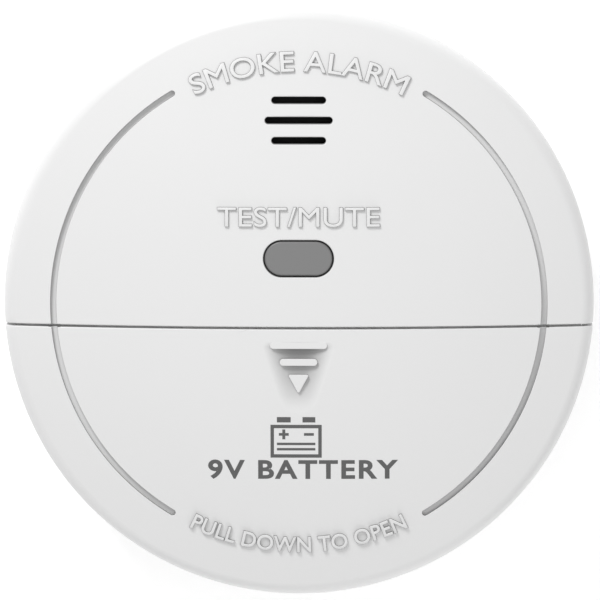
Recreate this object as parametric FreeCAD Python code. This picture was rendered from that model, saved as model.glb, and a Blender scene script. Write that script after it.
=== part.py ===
import FreeCAD, Part
import math
import os

# A round battery smoke detector, lying on its back with its face up.
#
# Millimetres. The origin is the centre of the bracket's back face, +Z runs out through the face and -Y is the
# way the battery door slides. Each function makes one physical piece; the list at the end names them all.

V = FreeCAD.Vector
X_AXIS, Z_AXIS = V(1, 0, 0), V(0, 0, 1)

# ---- driving dimensions ------------------------------------------------------------------------------------
HEIGHT = 36.0            # back of the bracket to the crown of the face
FACE_R = 60.0            # widest radius, at the skirt
DOME_R = 250.0           # curvature of the face
SHOULDER_R = 3.0         # rounding between face and skirt
SKIRT_Z = 20.0           # lower edge of cover and door skirts
WALL = 2.0               # thickness of the face mouldings
EDGE = 0.25              # rounding of moulded edges that show

SEAM_Y = -4.5            # where the door meets the cover
SEAM_GAP = 0.5
LEDGE_Y = -6.25          # the cover's ledge reaches this far under the door

GROOVE_R, GROOVE_W, GROOVE_D = 49.9, 1.45, 1.1
GROOVE_GAP_DEG = 31.0    # half the gap left for the lettering at top and bottom

SLOT_Y, SLOT_PITCH, SLOT_W = 37.5, 4.05, 1.4
SLOT_LONG, SLOT_SHORT = 13.7, 11.0

BUTTON_Y = 9.65
BUTTON_L, BUTTON_W = 14.3, 7.5   # the hole in the cover
BUTTON_CLEARANCE = 0.3

SCOOP_TOP_Y, SCOOP_END_Y = -8.1, -22.0
SCOOP_DEPTH, SCOOP_HALF_W = 2.0, 6.6
SCOOP_WALL = 1.6
MARK_W = 1.5             # width of the slide mark's bars
LONG_BAR_L, LONG_BAR_Y = 11.7, -8.0
SHORT_BAR_L, SHORT_BAR_Y = 7.7, -11.45
ARROW_HALF_W, ARROW_TOP_Y, ARROW_TIP_Y = 2.1, -14.0, -18.0

RIB_T, RIB_OUT, RIB_LOW = 1.2, 58.6, 25.2
COVER_RIB_ANGLES, COVER_RIB_IN = (25.0, 80.0, 100.0, 155.0), 54.6
DOOR_RIB_ANGLES, DOOR_RIB_IN = (215.0, 250.0, 290.0, 325.0), 52.0

BRACKET_R, BRACKET_T = 54.0, 2.4
HOOK_RING_R, HOOK_RING_T = 42.0, 2.0
HOOK_REACH, HOOK_T, HOOK_SPAN = 2.6, 1.2, 26.0
SCREW_SLOT_AT, SCREW_SLOT_L, SCREW_SLOT_R = 30.0, 9.0, 1.95
HOOK_STARTS = (30.0, 150.0, 270.0)
LOCK_CLEARANCE = 0.3     # between hooks and lugs

BASE_R, BASE_WALL = 55.0, 1.8
BASE_Z, BASE_TOP = 2.8, 24.0
FLOOR_Z, FLOOR_T = 6.2, 1.8
VENTS, VENT_W, VENT_Z0, VENT_Z1 = 48, 3.2, 10.6, 18.0

BOARD_R, BOARD_Z, BOARD_T, BOARD_EDGE_Y = 46.5, 12.0, 1.6, -7.5
BOARD_SCREWS = [(-42.0, -3.0), (42.0, -5.0), (-14.0, 23.0)]
POST_R, POST_ANGLES = 50.0, [5.0, 50.0, 130.0, 175.0]
PILOT_R, SHANK_R = 1.25, 1.15

CHAMBER_X, CHAMBER_Y, CHAMBER_R = 29.0, 12.5, 17.3
CHAMBER_TOP = 27.0
VANES = 15
SENSOR_ANGLES = {"infrared_led": 200.0, "photodiode": 320.0}
SENSOR_R, SENSOR_Z = 2.5, 20.4

HORN_X, HORN_Y, HORN_R, HORN_WALL = 0.0, SLOT_Y, 14.5, 1.2
HORN_LOW, HORN_TOP = 15.6, 27.2
HORN_OUTLET_R = 4.0
DISC_R, DISC_Z, DISC_T = 12.8, 19.0, 0.4
ELEMENT_R, ELEMENT_T = 8.5, 0.25
GASKET_IN, GASKET_T = 9.2, 1.5

SWITCH_X = -2.5
STATUS_X = 4.2
MICRO_X, MICRO_Y = -20.0, 8.0
CAPACITORS_AT = [(-38.0, 9.0), (-37.0, 18.0)]
CAPACITOR_R, CAPACITOR_H = 3.2, 8.5
COIL_X, COIL_Y = -27.0, 28.0
COIL_R, COIL_WOUND_R, COIL_H, COIL_FLANGE_T = 5.0, 3.9, 9.2, 1.2
CHIPS_X, CHIPS_Y, CHIP_STEP_X, CHIP_STEP_Y = -33.0, -3.6, 3.6, 4.0

BATTERY_L, BATTERY_W, BATTERY_T = 46.0, 26.5, 17.5
BATTERY_X0, BATTERY_Y = -26.5, -24.75
SNAP_H, SNAP_PITCH = 2.5, 12.7
TRAY_X, TRAY_WALL = 34.0, 1.5
TRAY_Y0, TRAY_Y1 = -40.2, -9.0
TRAY_SCREW_X, TRAY_SCREW_Y, TRAY_EAR_Z = 40.0, -21.0, 13.0
RAIL_Z, RAIL_T = 26.7, 1.2
CARRIER_X, CARRIER_TOP = 24.3, 23.4
SPRING_T = 0.4           # thickness of the contact and spring strips
LEAD_R = 0.6

FLOOR_TOP = FLOOR_Z + FLOOR_T
BOARD_TOP = BOARD_Z + BOARD_T
PLUNGER_TOP = BOARD_TOP + 5.0
TRAY_FLOOR_TOP = FLOOR_TOP + TRAY_WALL
BATTERY_END = BATTERY_X0 + BATTERY_L
POSITIVE_Y, NEGATIVE_Y = BATTERY_Y - SNAP_PITCH / 2, BATTERY_Y + SNAP_PITCH / 2
CONTACT_BACK = CARRIER_X + 2.1 + SPRING_T
RED_ROUTE = [
    (CONTACT_BACK, POSITIVE_Y, 17.6), (30.4, POSITIVE_Y, 17.6), (30.4, -7.2, 17.6), (20.0, -6.0, 17.6),
    (20.0, -6.0, BOARD_TOP),
]
BLACK_ROUTE = [
    (CONTACT_BACK, NEGATIVE_Y, 20.6), (28.6, NEGATIVE_Y, 20.6), (28.6, -7.2, 20.6), (15.0, -6.0, 20.0),
    (15.0, -6.0, BOARD_TOP),
]


# ---- small shape helpers -----------------------------------------------------------------------------------
def cylinder(radius, z0, z1, x=0.0, y=0.0):
    return Part.makeCylinder(radius, z1 - z0, V(x, y, z0))


def tube(outer, inner, z0, z1, x=0.0, y=0.0):
    return cylinder(outer, z0, z1, x, y).cut(cylinder(inner, z0 - 1, z1 + 1, x, y))


def block(x0, x1, y0, y1, z0, z1):
    return Part.makeBox(x1 - x0, y1 - y0, z1 - z0, V(x0, y0, z0))


def pill(length, width, z0, z1, x=0.0, y=0.0):
    """A stadium-shaped prism, long along X."""
    half = (length - width) / 2
    middle = block(x - half, x + half, y - width / 2, y + width / 2, z0, z1)
    ends = [cylinder(width / 2, z0, z1, x + side * half, y) for side in (-1, 1)]
    return middle.fuse(ends).removeSplitter()


def prism(points, z0, z1):
    """A closed outline of (x, y) points, extruded from z0 to z1."""
    corners = [V(x, y, z0) for x, y in points]
    face = Part.Face(Part.makePolygon(corners + corners[:1]))
    return face.extrude(V(0, 0, z1 - z0))


def sector(inner, outer, z0, z1, start_deg, span_deg):
    """Part of a ring: from inner to outer radius, turning span_deg from start_deg about +Z."""
    corners = [V(inner, 0, z0), V(outer, 0, z0), V(outer, 0, z1), V(inner, 0, z1)]
    face = Part.Face(Part.makePolygon(corners + corners[:1]))
    piece = face.revolve(V(0, 0, 0), Z_AXIS, span_deg)
    piece.rotate(V(0, 0, 0), Z_AXIS, start_deg)
    return piece


def polar(radius, degrees, x=0.0, y=0.0):
    angle = math.radians(degrees)
    return x + radius * math.cos(angle), y + radius * math.sin(angle)


def fused(first, *others):
    return first.fuse(list(others)).removeSplitter()


def group(shapes):
    """Several separate solids as one node."""
    solids = [solid for shape in shapes for solid in shape.Solids]
    return Part.makeCompound(solids)


def rounded(shape, radius, wanted):
    """Rounds the edges for which wanted(edge) is true."""
    edges = [edge for edge in shape.Edges if wanted(edge)]
    return shape.makeFillet(radius, edges)


def pan_screw(x, y, head_z, shank_to, head_r, head_h, up=True):
    """A cross-recessed pan-head screw; head_z is the head's seat, up means that the head is above it."""
    sign = 1 if up else -1
    head_end = head_z + sign * head_h
    head = cylinder(head_r, min(head_z, head_end), max(head_z, head_end), x, y)
    rim = [edge for edge in head.Edges if abs(edge.CenterOfMass.z - head_end) < 0.01]
    head = head.makeFillet(head_h * 0.45, rim)
    shank = cylinder(SHANK_R, min(head_z, shank_to), max(head_z, shank_to), x, y)
    recess_w, recess_l = 0.6, head_r * 1.1
    z_low = min(head_end, head_end - sign * head_h * 0.5)
    z_high = max(head_end, head_end - sign * head_h * 0.5)
    cross = fused(
        block(x - recess_l / 2, x + recess_l / 2, y - recess_w / 2, y + recess_w / 2, z_low, z_high),
        block(x - recess_w / 2, x + recess_w / 2, y - recess_l / 2, y + recess_l / 2, z_low, z_high),
    )
    return fused(head, shank).cut(cross)


# ---- the face's outer form, shared by cover, door and button ----------------------------------------------
def face_form(inset, z0=SKIRT_Z):
    """The solid under the domed face and inside the skirt, shrunk by inset, down to z0."""
    centre_z = HEIGHT - DOME_R
    radius, side = DOME_R - inset, FACE_R - inset
    shoulder = SHOULDER_R - inset
    top = V(0, 0, centre_z + radius)
    if shoulder > 0.05:
        shoulder_x = FACE_R - SHOULDER_R
        shoulder_z = centre_z + math.sqrt((DOME_R - SHOULDER_R) ** 2 - shoulder_x**2)
        lean = math.atan2(shoulder_x, shoulder_z - centre_z)   # the shared normal's angle from vertical
        middle = (lean + math.pi / 2) / 2
        low = V(side, 0, shoulder_z)
        high = V(shoulder_x + shoulder * math.sin(lean), 0, shoulder_z + shoulder * math.cos(lean))
        bend = V(shoulder_x + shoulder * math.sin(middle), 0, shoulder_z + shoulder * math.cos(middle))
        corner = [Part.Arc(low, bend, high).toShape()]
    else:
        lean = math.asin(side / radius)
        low = high = V(side, 0, centre_z + radius * math.cos(lean))
        corner = []
    crown = V(radius * math.sin(lean / 2), 0, centre_z + radius * math.cos(lean / 2))
    edges = [Part.makeLine(V(0, 0, z0), V(side, 0, z0)), Part.makeLine(V(side, 0, z0), low)]
    edges += corner
    edges += [Part.Arc(high, crown, top).toShape(), Part.makeLine(top, V(0, 0, z0))]
    face = Part.Face(Part.Wire(edges))
    return face.revolve(V(0, 0, 0), Z_AXIS, 360)


def face_layer(from_inset, to_inset, z0=SKIRT_Z):
    """The skin between two insets of the face form."""
    return face_form(from_inset, z0).cut(face_form(to_inset, z0 - 1))


def face_z(x, y, inset=0.0):
    """Height of the face at a point."""
    return HEIGHT - DOME_R + math.sqrt((DOME_R - inset) ** 2 - x * x - y * y)


def under_face(shape, inset):
    """Trims a post or rail to end inside the face's thickness."""
    return shape.common(face_form(inset, 0.0))


def shoulder_ribs(inner, angles):
    """Small webs that stiffen the shoulder from inside."""
    ribs = []
    for angle in angles:
        rib = block(inner, RIB_OUT, -RIB_T / 2, RIB_T / 2, RIB_LOW, HEIGHT)
        rib.rotate(V(0, 0, 0), Z_AXIS, angle)
        ribs.append(under_face(rib, WALL - 0.5))
    return ribs


def ring_grooves():
    """The two shallow arcs round the face, with round ends."""
    cuts = []
    for side_deg in (0.0, 180.0):
        start = side_deg - 90.0 + GROOVE_GAP_DEG
        span = 180.0 - 2 * GROOVE_GAP_DEG
        inner, outer = GROOVE_R - GROOVE_W / 2, GROOVE_R + GROOVE_W / 2
        cuts.append(sector(inner, outer, SKIRT_Z, HEIGHT, start, span))
        for end in (start, start + span):
            x, y = polar(GROOVE_R, end)
            cuts.append(cylinder(GROOVE_W / 2, SKIRT_Z, HEIGHT, x, y))
    plan = cuts[0].fuse(cuts[1:])
    return plan.common(face_layer(0.0, GROOVE_D))


# ---- bracket -----------------------------------------------------------------------------------------------
def mounting_bracket():
    plate = cylinder(BRACKET_R, 0, BRACKET_T)
    rim = [edge for edge in plate.Edges if abs(edge.CenterOfMass.z - BRACKET_T) < 0.01]
    plate = plate.makeFillet(0.8, rim)
    hook_top = FLOOR_Z - 0.5
    pieces = [tube(HOOK_RING_R, HOOK_RING_R - HOOK_RING_T, BRACKET_T, hook_top)]
    for start in HOOK_STARTS:
        inner = HOOK_RING_R - 0.5
        pieces.append(
            sector(inner, HOOK_RING_R + HOOK_REACH, hook_top - HOOK_T, hook_top, start, HOOK_SPAN)
        )
        pieces.append(sector(inner, HOOK_RING_R + HOOK_REACH, BRACKET_T, hook_top, start - 2.5, 2.5))
    for rib_deg in (45, 135):
        rib = block(-HOOK_RING_R + 1, HOOK_RING_R - 1, -0.7, 0.7, BRACKET_T, BRACKET_T + 1.4)
        rib.rotate(V(0, 0, 0), Z_AXIS, rib_deg)
        pieces.append(rib)
    body = fused(plate, *pieces)
    body = body.cut(cylinder(22.0, -1.0, 0.7))          # shallow relief in the back
    for side in (-1, 1):
        across = pill(SCREW_SLOT_L, 2 * SCREW_SLOT_R, -1, BRACKET_T + 3, side * SCREW_SLOT_AT, 0)
        along = pill(SCREW_SLOT_L, 2 * SCREW_SLOT_R, -1, BRACKET_T + 3, side * SCREW_SLOT_AT, 0)
        along.rotate(V(0, 0, 0), Z_AXIS, 90)
        body = body.cut(across.fuse(along))
    return body


# ---- base housing ------------------------------------------------------------------------------------------
def base_housing():
    wall = tube(BASE_R, BASE_R - BASE_WALL, BASE_Z, BASE_TOP)
    floor = cylinder(BASE_R - BASE_WALL / 2, FLOOR_Z, FLOOR_TOP)
    lug_ring_in = HOOK_RING_R + HOOK_REACH + 0.5
    lug_low, lug_high = BASE_Z + 0.1, FLOOR_Z - 0.5 - HOOK_T - LOCK_CLEARANCE
    pieces = [wall, tube(lug_ring_in + 1.5, lug_ring_in, BASE_Z + 0.1, FLOOR_Z)]
    for start in HOOK_STARTS:
        reach = HOOK_RING_R + 0.4
        pieces.append(sector(reach, lug_ring_in + 0.5, lug_low, lug_high, start + 0.4, HOOK_SPAN - 1.0))
    for x, y in BOARD_SCREWS:
        pieces.append(cylinder(3.0, FLOOR_Z, BOARD_Z, x, y))
    for angle in POST_ANGLES:
        x, y = polar(POST_R, angle)
        pieces.append(cylinder(3.6, FLOOR_Z, BOARD_Z, x, y).common(cylinder(BASE_R - 0.5, 0, 40)))
    for side in (-1, 1):
        pieces.append(cylinder(3.0, FLOOR_Z, TRAY_EAR_Z, side * TRAY_SCREW_X, TRAY_SCREW_Y))
    body = fused(floor, *pieces)

    foot = [
        edge for edge in body.Edges
        if abs(edge.CenterOfMass.z - BASE_Z) < 0.01 and abs(edge.BoundBox.XMax - BASE_R) < 0.01
    ]
    body = body.makeFillet(0.9, foot)

    holes = []
    for n in range(VENTS):
        slot = block(BASE_R - 5, BASE_R + 5, -VENT_W / 2, VENT_W / 2, VENT_Z0, VENT_Z1)
        slot.rotate(V(0, 0, 0), Z_AXIS, 360.0 * (n + 0.5) / VENTS)
        holes.append(slot)
    for x, y in BOARD_SCREWS:
        holes.append(cylinder(PILOT_R, FLOOR_TOP, BOARD_Z + 1, x, y))
    for side in (-1, 1):
        holes.append(cylinder(PILOT_R, FLOOR_TOP, TRAY_EAR_Z + 1, side * TRAY_SCREW_X, TRAY_SCREW_Y))
    for angle in POST_ANGLES:
        x, y = polar(POST_R, angle)
        holes.append(cylinder(2.75, FLOOR_Z - 1, 9.0, x, y))
        holes.append(cylinder(PILOT_R + 0.25, 8.0, BOARD_Z + 1, x, y))
    return body.cut(holes[0].fuse(holes[1:]))


# ---- front cover -------------------------------------------------------------------------------------------
def front_cover():
    keep = block(-70, 70, SEAM_Y + SEAM_GAP / 2, 70, 0, 50)
    shell = face_layer(0.0, WALL).common(keep)

    slots = []
    for row, length in ((-1, SLOT_SHORT), (0, SLOT_LONG), (1, SLOT_SHORT)):
        slots.append(pill(length, SLOT_W, 20, 40, 0, SLOT_Y + row * SLOT_PITCH))
    button_hole = pill(BUTTON_L, BUTTON_W, 20, 40, 0, BUTTON_Y)
    edge_y = SEAM_Y + SEAM_GAP / 2
    shell = shell.cut(slots + [button_hole])
    shell = rounded(shell, EDGE, lambda edge: shows(edge, edge_y))
    shell = shell.cut(ring_grooves())

    ledge = face_layer(WALL + 0.3, WALL + 1.6).common(block(-60, 60, LEDGE_Y, edge_y + 2.4, 0, 50))
    beam = face_layer(WALL - 0.5, WALL + 1.6).common(block(-60, 60, edge_y + 0.4, edge_y + 2.4, 0, 50))
    collar = under_face(tube(11.0, 9.0, HORN_TOP + GASKET_T, HEIGHT, HORN_X, HORN_Y), WALL - 0.5)
    guide = pill(19.6, 12.8, 29.5, HEIGHT, 0, BUTTON_Y).cut(pill(17.4, 10.6, 29, HEIGHT, 0, BUTTON_Y))
    guide = under_face(guide, WALL - 0.5)
    posts = []
    for angle in POST_ANGLES:
        x, y = polar(POST_R, angle)
        posts.append(under_face(cylinder(2.6, BOARD_Z, HEIGHT, x, y), WALL - 0.5))
    ribs = shoulder_ribs(COVER_RIB_IN, COVER_RIB_ANGLES)
    body = fused(shell, ledge, beam, collar, guide, *posts, *ribs)

    pilots = []
    for angle in POST_ANGLES:
        x, y = polar(POST_R, angle)
        pilots.append(cylinder(PILOT_R, BOARD_Z - 1, 24.0, x, y))
    return body.cut(pilots)


def shows(edge, seam_y):
    """True for an edge a finger would meet: round the face's openings and along the seam."""
    middle = edge.valueAt((edge.FirstParameter + edge.LastParameter) / 2)
    radius = math.hypot(middle.x, middle.y)
    if abs(middle.y - seam_y) < 0.01 and edge.BoundBox.YLength < 0.01:
        outside = face_form(WALL / 2).isInside(middle, 0.001, True)
        return not outside and edge.BoundBox.ZMin > SKIRT_Z - 0.01 and edge.BoundBox.ZLength > 0.01
    return radius < FACE_R - SHOULDER_R - 2 and abs(middle.z - face_z(middle.x, middle.y)) < 0.02


# ---- battery door ------------------------------------------------------------------------------------------
def thumb_scoop(wall=0.0):
    """A hollow that is deepest under the long bar and runs out towards the rim, grown by wall."""
    radius = SCOOP_HALF_W**2 / (2 * SCOOP_DEPTH) + SCOOP_DEPTH / 2
    start = V(0, SCOOP_TOP_Y, face_z(0, SCOOP_TOP_Y) - SCOOP_DEPTH + radius)
    end = V(0, SCOOP_END_Y, face_z(0, SCOOP_END_Y) + radius)
    along = end - start
    along.normalize()
    tool = Part.makeCylinder(radius + wall, 50.0, start - along * 10.0, along)
    half_w = SCOOP_HALF_W + 2 * wall
    return tool.common(block(-half_w, half_w, SCOOP_END_Y - 8, SCOOP_TOP_Y + wall * 0.8, 20, 60))


def rounded_triangle(half_w, top_y, tip_y, corner):
    """A downward-pointing triangle with round corners, as a tall prism."""
    body = prism([(-half_w, top_y), (0, tip_y), (half_w, top_y)], 30, HEIGHT)
    upright = [edge for edge in body.Edges if edge.BoundBox.ZLength > 1]
    return body.makeFillet(corner, upright)


def scoop_ridges():
    """The slide mark: a long bar, a short bar and an arrowhead, level with the face."""
    long_bar = pill(LONG_BAR_L, MARK_W, 30, HEIGHT, 0, LONG_BAR_Y)
    short_bar = pill(SHORT_BAR_L, MARK_W, 30, HEIGHT, 0, SHORT_BAR_Y)
    arrowhead = rounded_triangle(ARROW_HALF_W, ARROW_TOP_Y, ARROW_TIP_Y, 0.35)
    return [mark.common(face_layer(0.0, SCOOP_DEPTH + 0.3)) for mark in (long_bar, short_bar, arrowhead)]


def door_rails():
    """Two L-shaped rails that hook under the tray's flanges."""
    rails = []
    for side in (-1, 1):
        x0, x1 = sorted((side * (TRAY_X + 2.6), side * (TRAY_X + 4.1)))
        leg = block(x0, x1, -36.0, -10.0, RAIL_Z - 1.5, HEIGHT)
        f0, f1 = sorted((side * (TRAY_X + 0.9), side * (TRAY_X + 4.1)))
        foot = block(f0, f1, -36.0, -10.0, RAIL_Z - 1.5, RAIL_Z - 0.3)
        rails.append(under_face(leg.fuse(foot), WALL - 0.5))
    return rails


def battery_door():
    edge_y = SEAM_Y - SEAM_GAP / 2
    shell = face_layer(0.0, WALL).common(block(-70, 70, -70, edge_y, 0, 50))
    shell = rounded(shell, EDGE, lambda edge: shows(edge, edge_y))
    shell = shell.cut(ring_grooves())
    boss = thumb_scoop(SCOOP_WALL).common(face_form(WALL / 2))
    shell = shell.fuse(boss).cut(thumb_scoop())
    ribs = shoulder_ribs(DOOR_RIB_IN, DOOR_RIB_ANGLES)
    return fused(shell, *scoop_ridges(), *door_rails(), *ribs)


# ---- test button and switch --------------------------------------------------------------------------------
def test_button():
    length, width = BUTTON_L - 2 * BUTTON_CLEARANCE, BUTTON_W - 2 * BUTTON_CLEARANCE
    seat = face_z(0, BUTTON_Y, WALL) - 0.7
    cap = pill(length, width, seat - 1.0, HEIGHT + 1, 0, BUTTON_Y).common(face_form(0.05, 0.0))
    cap = rounded(cap, 0.35, lambda edge: edge.BoundBox.ZMin > seat + 0.5)
    flange = pill(16.4, 9.6, seat - 1.2, seat, 0, BUTTON_Y)
    stem = cylinder(1.9, PLUNGER_TOP + 0.1, seat - 1.0, SWITCH_X, BUTTON_Y)
    webs = [
        block(SWITCH_X - 4.0, SWITCH_X + 4.0, BUTTON_Y - 0.5, BUTTON_Y + 0.5, seat - 6.0, seat - 1.0),
        block(SWITCH_X - 0.5, SWITCH_X + 0.5, BUTTON_Y - 3.5, BUTTON_Y + 3.5, seat - 6.0, seat - 1.0),
    ]
    return fused(cap, flange, stem, *webs)


def switch_plunger():
    return cylinder(1.7, BOARD_TOP + 2.6, PLUNGER_TOP, SWITCH_X, BUTTON_Y)


def tactile_switch():
    half = 3.0
    low, high = BOARD_TOP, BOARD_TOP + 3.6
    body = block(SWITCH_X - half, SWITCH_X + half, BUTTON_Y - half, BUTTON_Y + half, low, high)
    body = body.cut(cylinder(1.8, BOARD_TOP + 1.9, high + 1, SWITCH_X, BUTTON_Y))
    legs = []
    for sx in (-1, 1):
        for sy in (-1, 1):
            x0, x1 = sorted((SWITCH_X + sx * half, SWITCH_X + sx * (half + 0.9)))
            y0, y1 = BUTTON_Y + sy * 2.2 - 0.35, BUTTON_Y + sy * 2.2 + 0.35
            legs.append(block(x0, x1, y0, y1, low, low + 0.8))
    return fused(body, *legs)


# ---- circuit board and its parts ---------------------------------------------------------------------------
def circuit_board():
    board = cylinder(BOARD_R, BOARD_Z, BOARD_TOP)
    board = board.common(block(-60, 60, BOARD_EDGE_Y, 60, 0, 40))
    holes = [cylinder(1.5, BOARD_Z - 1, BOARD_TOP + 1, x, y) for x, y in BOARD_SCREWS]
    return board.cut(holes)


def status_led():
    lens = cylinder(1.5, 19.4, 23.0, STATUS_X, BUTTON_Y)
    crown = Part.makeSphere(1.5, V(STATUS_X, BUTTON_Y, 23.0))
    flange = cylinder(1.9, 18.6, 19.6, STATUS_X, BUTTON_Y)
    legs = []
    for side in (-1, 1):
        x = STATUS_X + side * 0.9
        legs.append(block(x - 0.25, x + 0.25, BUTTON_Y - 0.25, BUTTON_Y + 0.25, BOARD_TOP, 19.0))
    return fused(lens, crown, flange, *legs)


def microcontroller():
    x, y = MICRO_X, MICRO_Y
    body = block(x - 5.0, x + 5.0, y - 2.0, y + 2.0, BOARD_TOP + 0.15, BOARD_TOP + 1.75)
    legs = []
    for n in range(8):
        leg_x = x - 4.45 + n * 1.27
        for side in (-1, 1):
            y0, y1 = sorted((y + side * 1.9, y + side * 3.0))
            legs.append(block(leg_x - 0.2, leg_x + 0.2, y0, y1, BOARD_TOP, BOARD_TOP + 0.4))
    return fused(body, *legs)


def capacitors():
    cans = []
    for x, y in CAPACITORS_AT:
        can = cylinder(CAPACITOR_R, BOARD_TOP, BOARD_TOP + CAPACITOR_H, x, y)
        top = [edge for edge in can.Edges if abs(edge.CenterOfMass.z - BOARD_TOP - CAPACITOR_H) < 0.01]
        can = can.makeFillet(0.5, top)
        groove = tube(CAPACITOR_R + 1, CAPACITOR_R - 0.25, BOARD_TOP + 1.4, BOARD_TOP + 2.0, x, y)
        cans.append(can.cut(groove))
    return group(cans)


def horn_coil():
    top = BOARD_TOP + COIL_H
    winding = cylinder(COIL_WOUND_R, BOARD_TOP, top, COIL_X, COIL_Y)
    low_flange = cylinder(COIL_R, BOARD_TOP, BOARD_TOP + COIL_FLANGE_T, COIL_X, COIL_Y)
    top_flange = cylinder(COIL_R, top - COIL_FLANGE_T, top, COIL_X, COIL_Y)
    return fused(winding, low_flange, top_flange)


def chip_resistors():
    chips = []
    for row in range(2):
        for column in range(6):
            x, y = CHIPS_X + CHIP_STEP_X * column, CHIPS_Y + CHIP_STEP_Y * row
            chips.append(block(x - 1.0, x + 1.0, y - 0.6, y + 0.6, BOARD_TOP, BOARD_TOP + 0.6))
    return group(chips)


def board_screws():
    return group([pan_screw(x, y, BOARD_TOP, FLOOR_TOP + 0.6, 2.4, 1.6) for x, y in BOARD_SCREWS])


def cover_screws():
    screws = []
    for angle in POST_ANGLES:
        x, y = polar(POST_R, angle)
        screws.append(pan_screw(x, y, 9.0, 22.0, 2.5, 1.9, up=False))
    return group(screws)


def tray_screws():
    seat, shank_to = TRAY_EAR_Z + TRAY_WALL, FLOOR_TOP + 0.6
    places = [(side * TRAY_SCREW_X, TRAY_SCREW_Y) for side in (-1, 1)]
    return group([pan_screw(x, y, seat, shank_to, 2.4, 1.6) for x, y in places])


# ---- smoke chamber -----------------------------------------------------------------------------------------
def chevron(angle):
    """One bent light-stopping vane of the labyrinth."""
    outline = []
    for offset in (-0.45, 0.45):
        line = []
        for radius, turn in ((16.6, 0.0), (14.2, 10.0), (11.6, 0.0)):
            x, y = polar(radius, angle + turn, CHAMBER_X, CHAMBER_Y)
            across = math.radians(angle + turn + 90.0)
            line.append((x + offset * math.cos(across), y + offset * math.sin(across)))
        outline += line if offset < 0 else line[::-1]
    return prism(outline, BOARD_TOP + 1.0, CHAMBER_TOP - 1.6)


def optical_labyrinth():
    base = cylinder(CHAMBER_R, BOARD_TOP, BOARD_TOP + 1.6, CHAMBER_X, CHAMBER_Y)
    vanes = []
    for n in range(VANES):
        angle = 360.0 * n / VANES
        if all(abs(angle + 5 - sensor) > 19.0 for sensor in SENSOR_ANGLES.values()):
            vanes.append(chevron(angle))
    cradles = []
    for sensor in SENSOR_ANGLES.values():
        arm = block(10.8, 16.6, -3.6, 3.6, BOARD_TOP + 1.0, SENSOR_Z)
        arm = arm.cut(Part.makeCylinder(SENSOR_R + 0.05, 9.0, V(9.0, 0, SENSOR_Z), X_AXIS))
        arm.rotate(V(0, 0, 0), Z_AXIS, sensor)
        arm.translate(V(CHAMBER_X, CHAMBER_Y, 0))
        cradles.append(arm)
    return fused(base, *vanes, *cradles)


def chamber_cap():
    lid = cylinder(CHAMBER_R + 0.4, CHAMBER_TOP - 1.6, CHAMBER_TOP, CHAMBER_X, CHAMBER_Y)
    top = [edge for edge in lid.Edges if abs(edge.CenterOfMass.z - CHAMBER_TOP) < 0.01]
    lid = lid.makeFillet(0.6, top)
    return lid.cut(cylinder(6.0, CHAMBER_TOP - 0.5, CHAMBER_TOP + 1, CHAMBER_X, CHAMBER_Y))


def insect_screen():
    low, high = BOARD_TOP + 1.6, CHAMBER_TOP - 1.6
    band = tube(CHAMBER_R + 0.1, CHAMBER_R - 0.2, low, high, CHAMBER_X, CHAMBER_Y)
    slots = []
    for n in range(36):
        slot = block(CHAMBER_R - 2, CHAMBER_R + 2, -0.9, 0.9, low + 1.0, high - 1.0)
        slot.rotate(V(0, 0, 0), Z_AXIS, 10.0 * n)
        slot.translate(V(CHAMBER_X, CHAMBER_Y, 0))
        slots.append(slot)
    return band.cut(slots)


def sensor_capsule(name):
    """A 5 mm round optical part lying in its cradle and looking at the chamber's middle."""
    radius, nose_x, back_x, axis_z = SENSOR_R, 11.8, 16.0, SENSOR_Z
    tip = V(nose_x - radius, 0, axis_z)
    bend = V(nose_x - radius * math.cos(math.pi / 4), 0, axis_z + radius * math.sin(math.pi / 4))
    shoulder = V(nose_x, 0, axis_z + radius)
    back_rim, back_centre = V(back_x, 0, axis_z + radius), V(back_x, 0, axis_z)
    outline = [
        Part.Arc(tip, bend, shoulder).toShape(), Part.makeLine(shoulder, back_rim),
        Part.makeLine(back_rim, back_centre), Part.makeLine(back_centre, tip),
    ]
    body = Part.Face(Part.Wire(outline)).revolve(V(0, 0, axis_z), X_AXIS, 360)
    legs = []
    for y in (-1.27, 1.27):
        legs.append(block(back_x - 0.1, back_x + 0.8, y - 0.25, y + 0.25, axis_z - 0.25, axis_z + 0.25))
    piece = fused(body, *legs)
    piece.rotate(V(0, 0, 0), Z_AXIS, SENSOR_ANGLES[name])
    piece.translate(V(CHAMBER_X, CHAMBER_Y, 0))
    return piece


# ---- horn --------------------------------------------------------------------------------------------------
def horn_cup():
    low = HORN_LOW
    cup = tube(HORN_R, HORN_R - HORN_WALL, low, HORN_TOP, HORN_X, HORN_Y)
    roof = cylinder(HORN_R, HORN_TOP - 1.5, HORN_TOP, HORN_X, HORN_Y)
    roof = roof.cut(cylinder(HORN_OUTLET_R, 0, 40, HORN_X, HORN_Y))
    ledge = tube(HORN_R - 0.5, 11.3, DISC_Z + DISC_T, DISC_Z + DISC_T + 1.2, HORN_X, HORN_Y)
    feet = []
    for angle in (210.0, 270.0, 330.0):
        x, y = polar(HORN_R - 1.9, angle, HORN_X, HORN_Y)
        foot = cylinder(1.8, BOARD_TOP, low + 2.0, x, y)
        foot = foot.cut(cylinder(HORN_R - HORN_WALL, low, 40, HORN_X, HORN_Y))
        feet.append(foot)
    return fused(cup, roof, ledge, *feet)


def piezo_disc():
    return cylinder(DISC_R, DISC_Z, DISC_Z + DISC_T, HORN_X, HORN_Y)


def piezo_element():
    return cylinder(ELEMENT_R, DISC_Z - ELEMENT_T, DISC_Z, HORN_X, HORN_Y)


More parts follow.
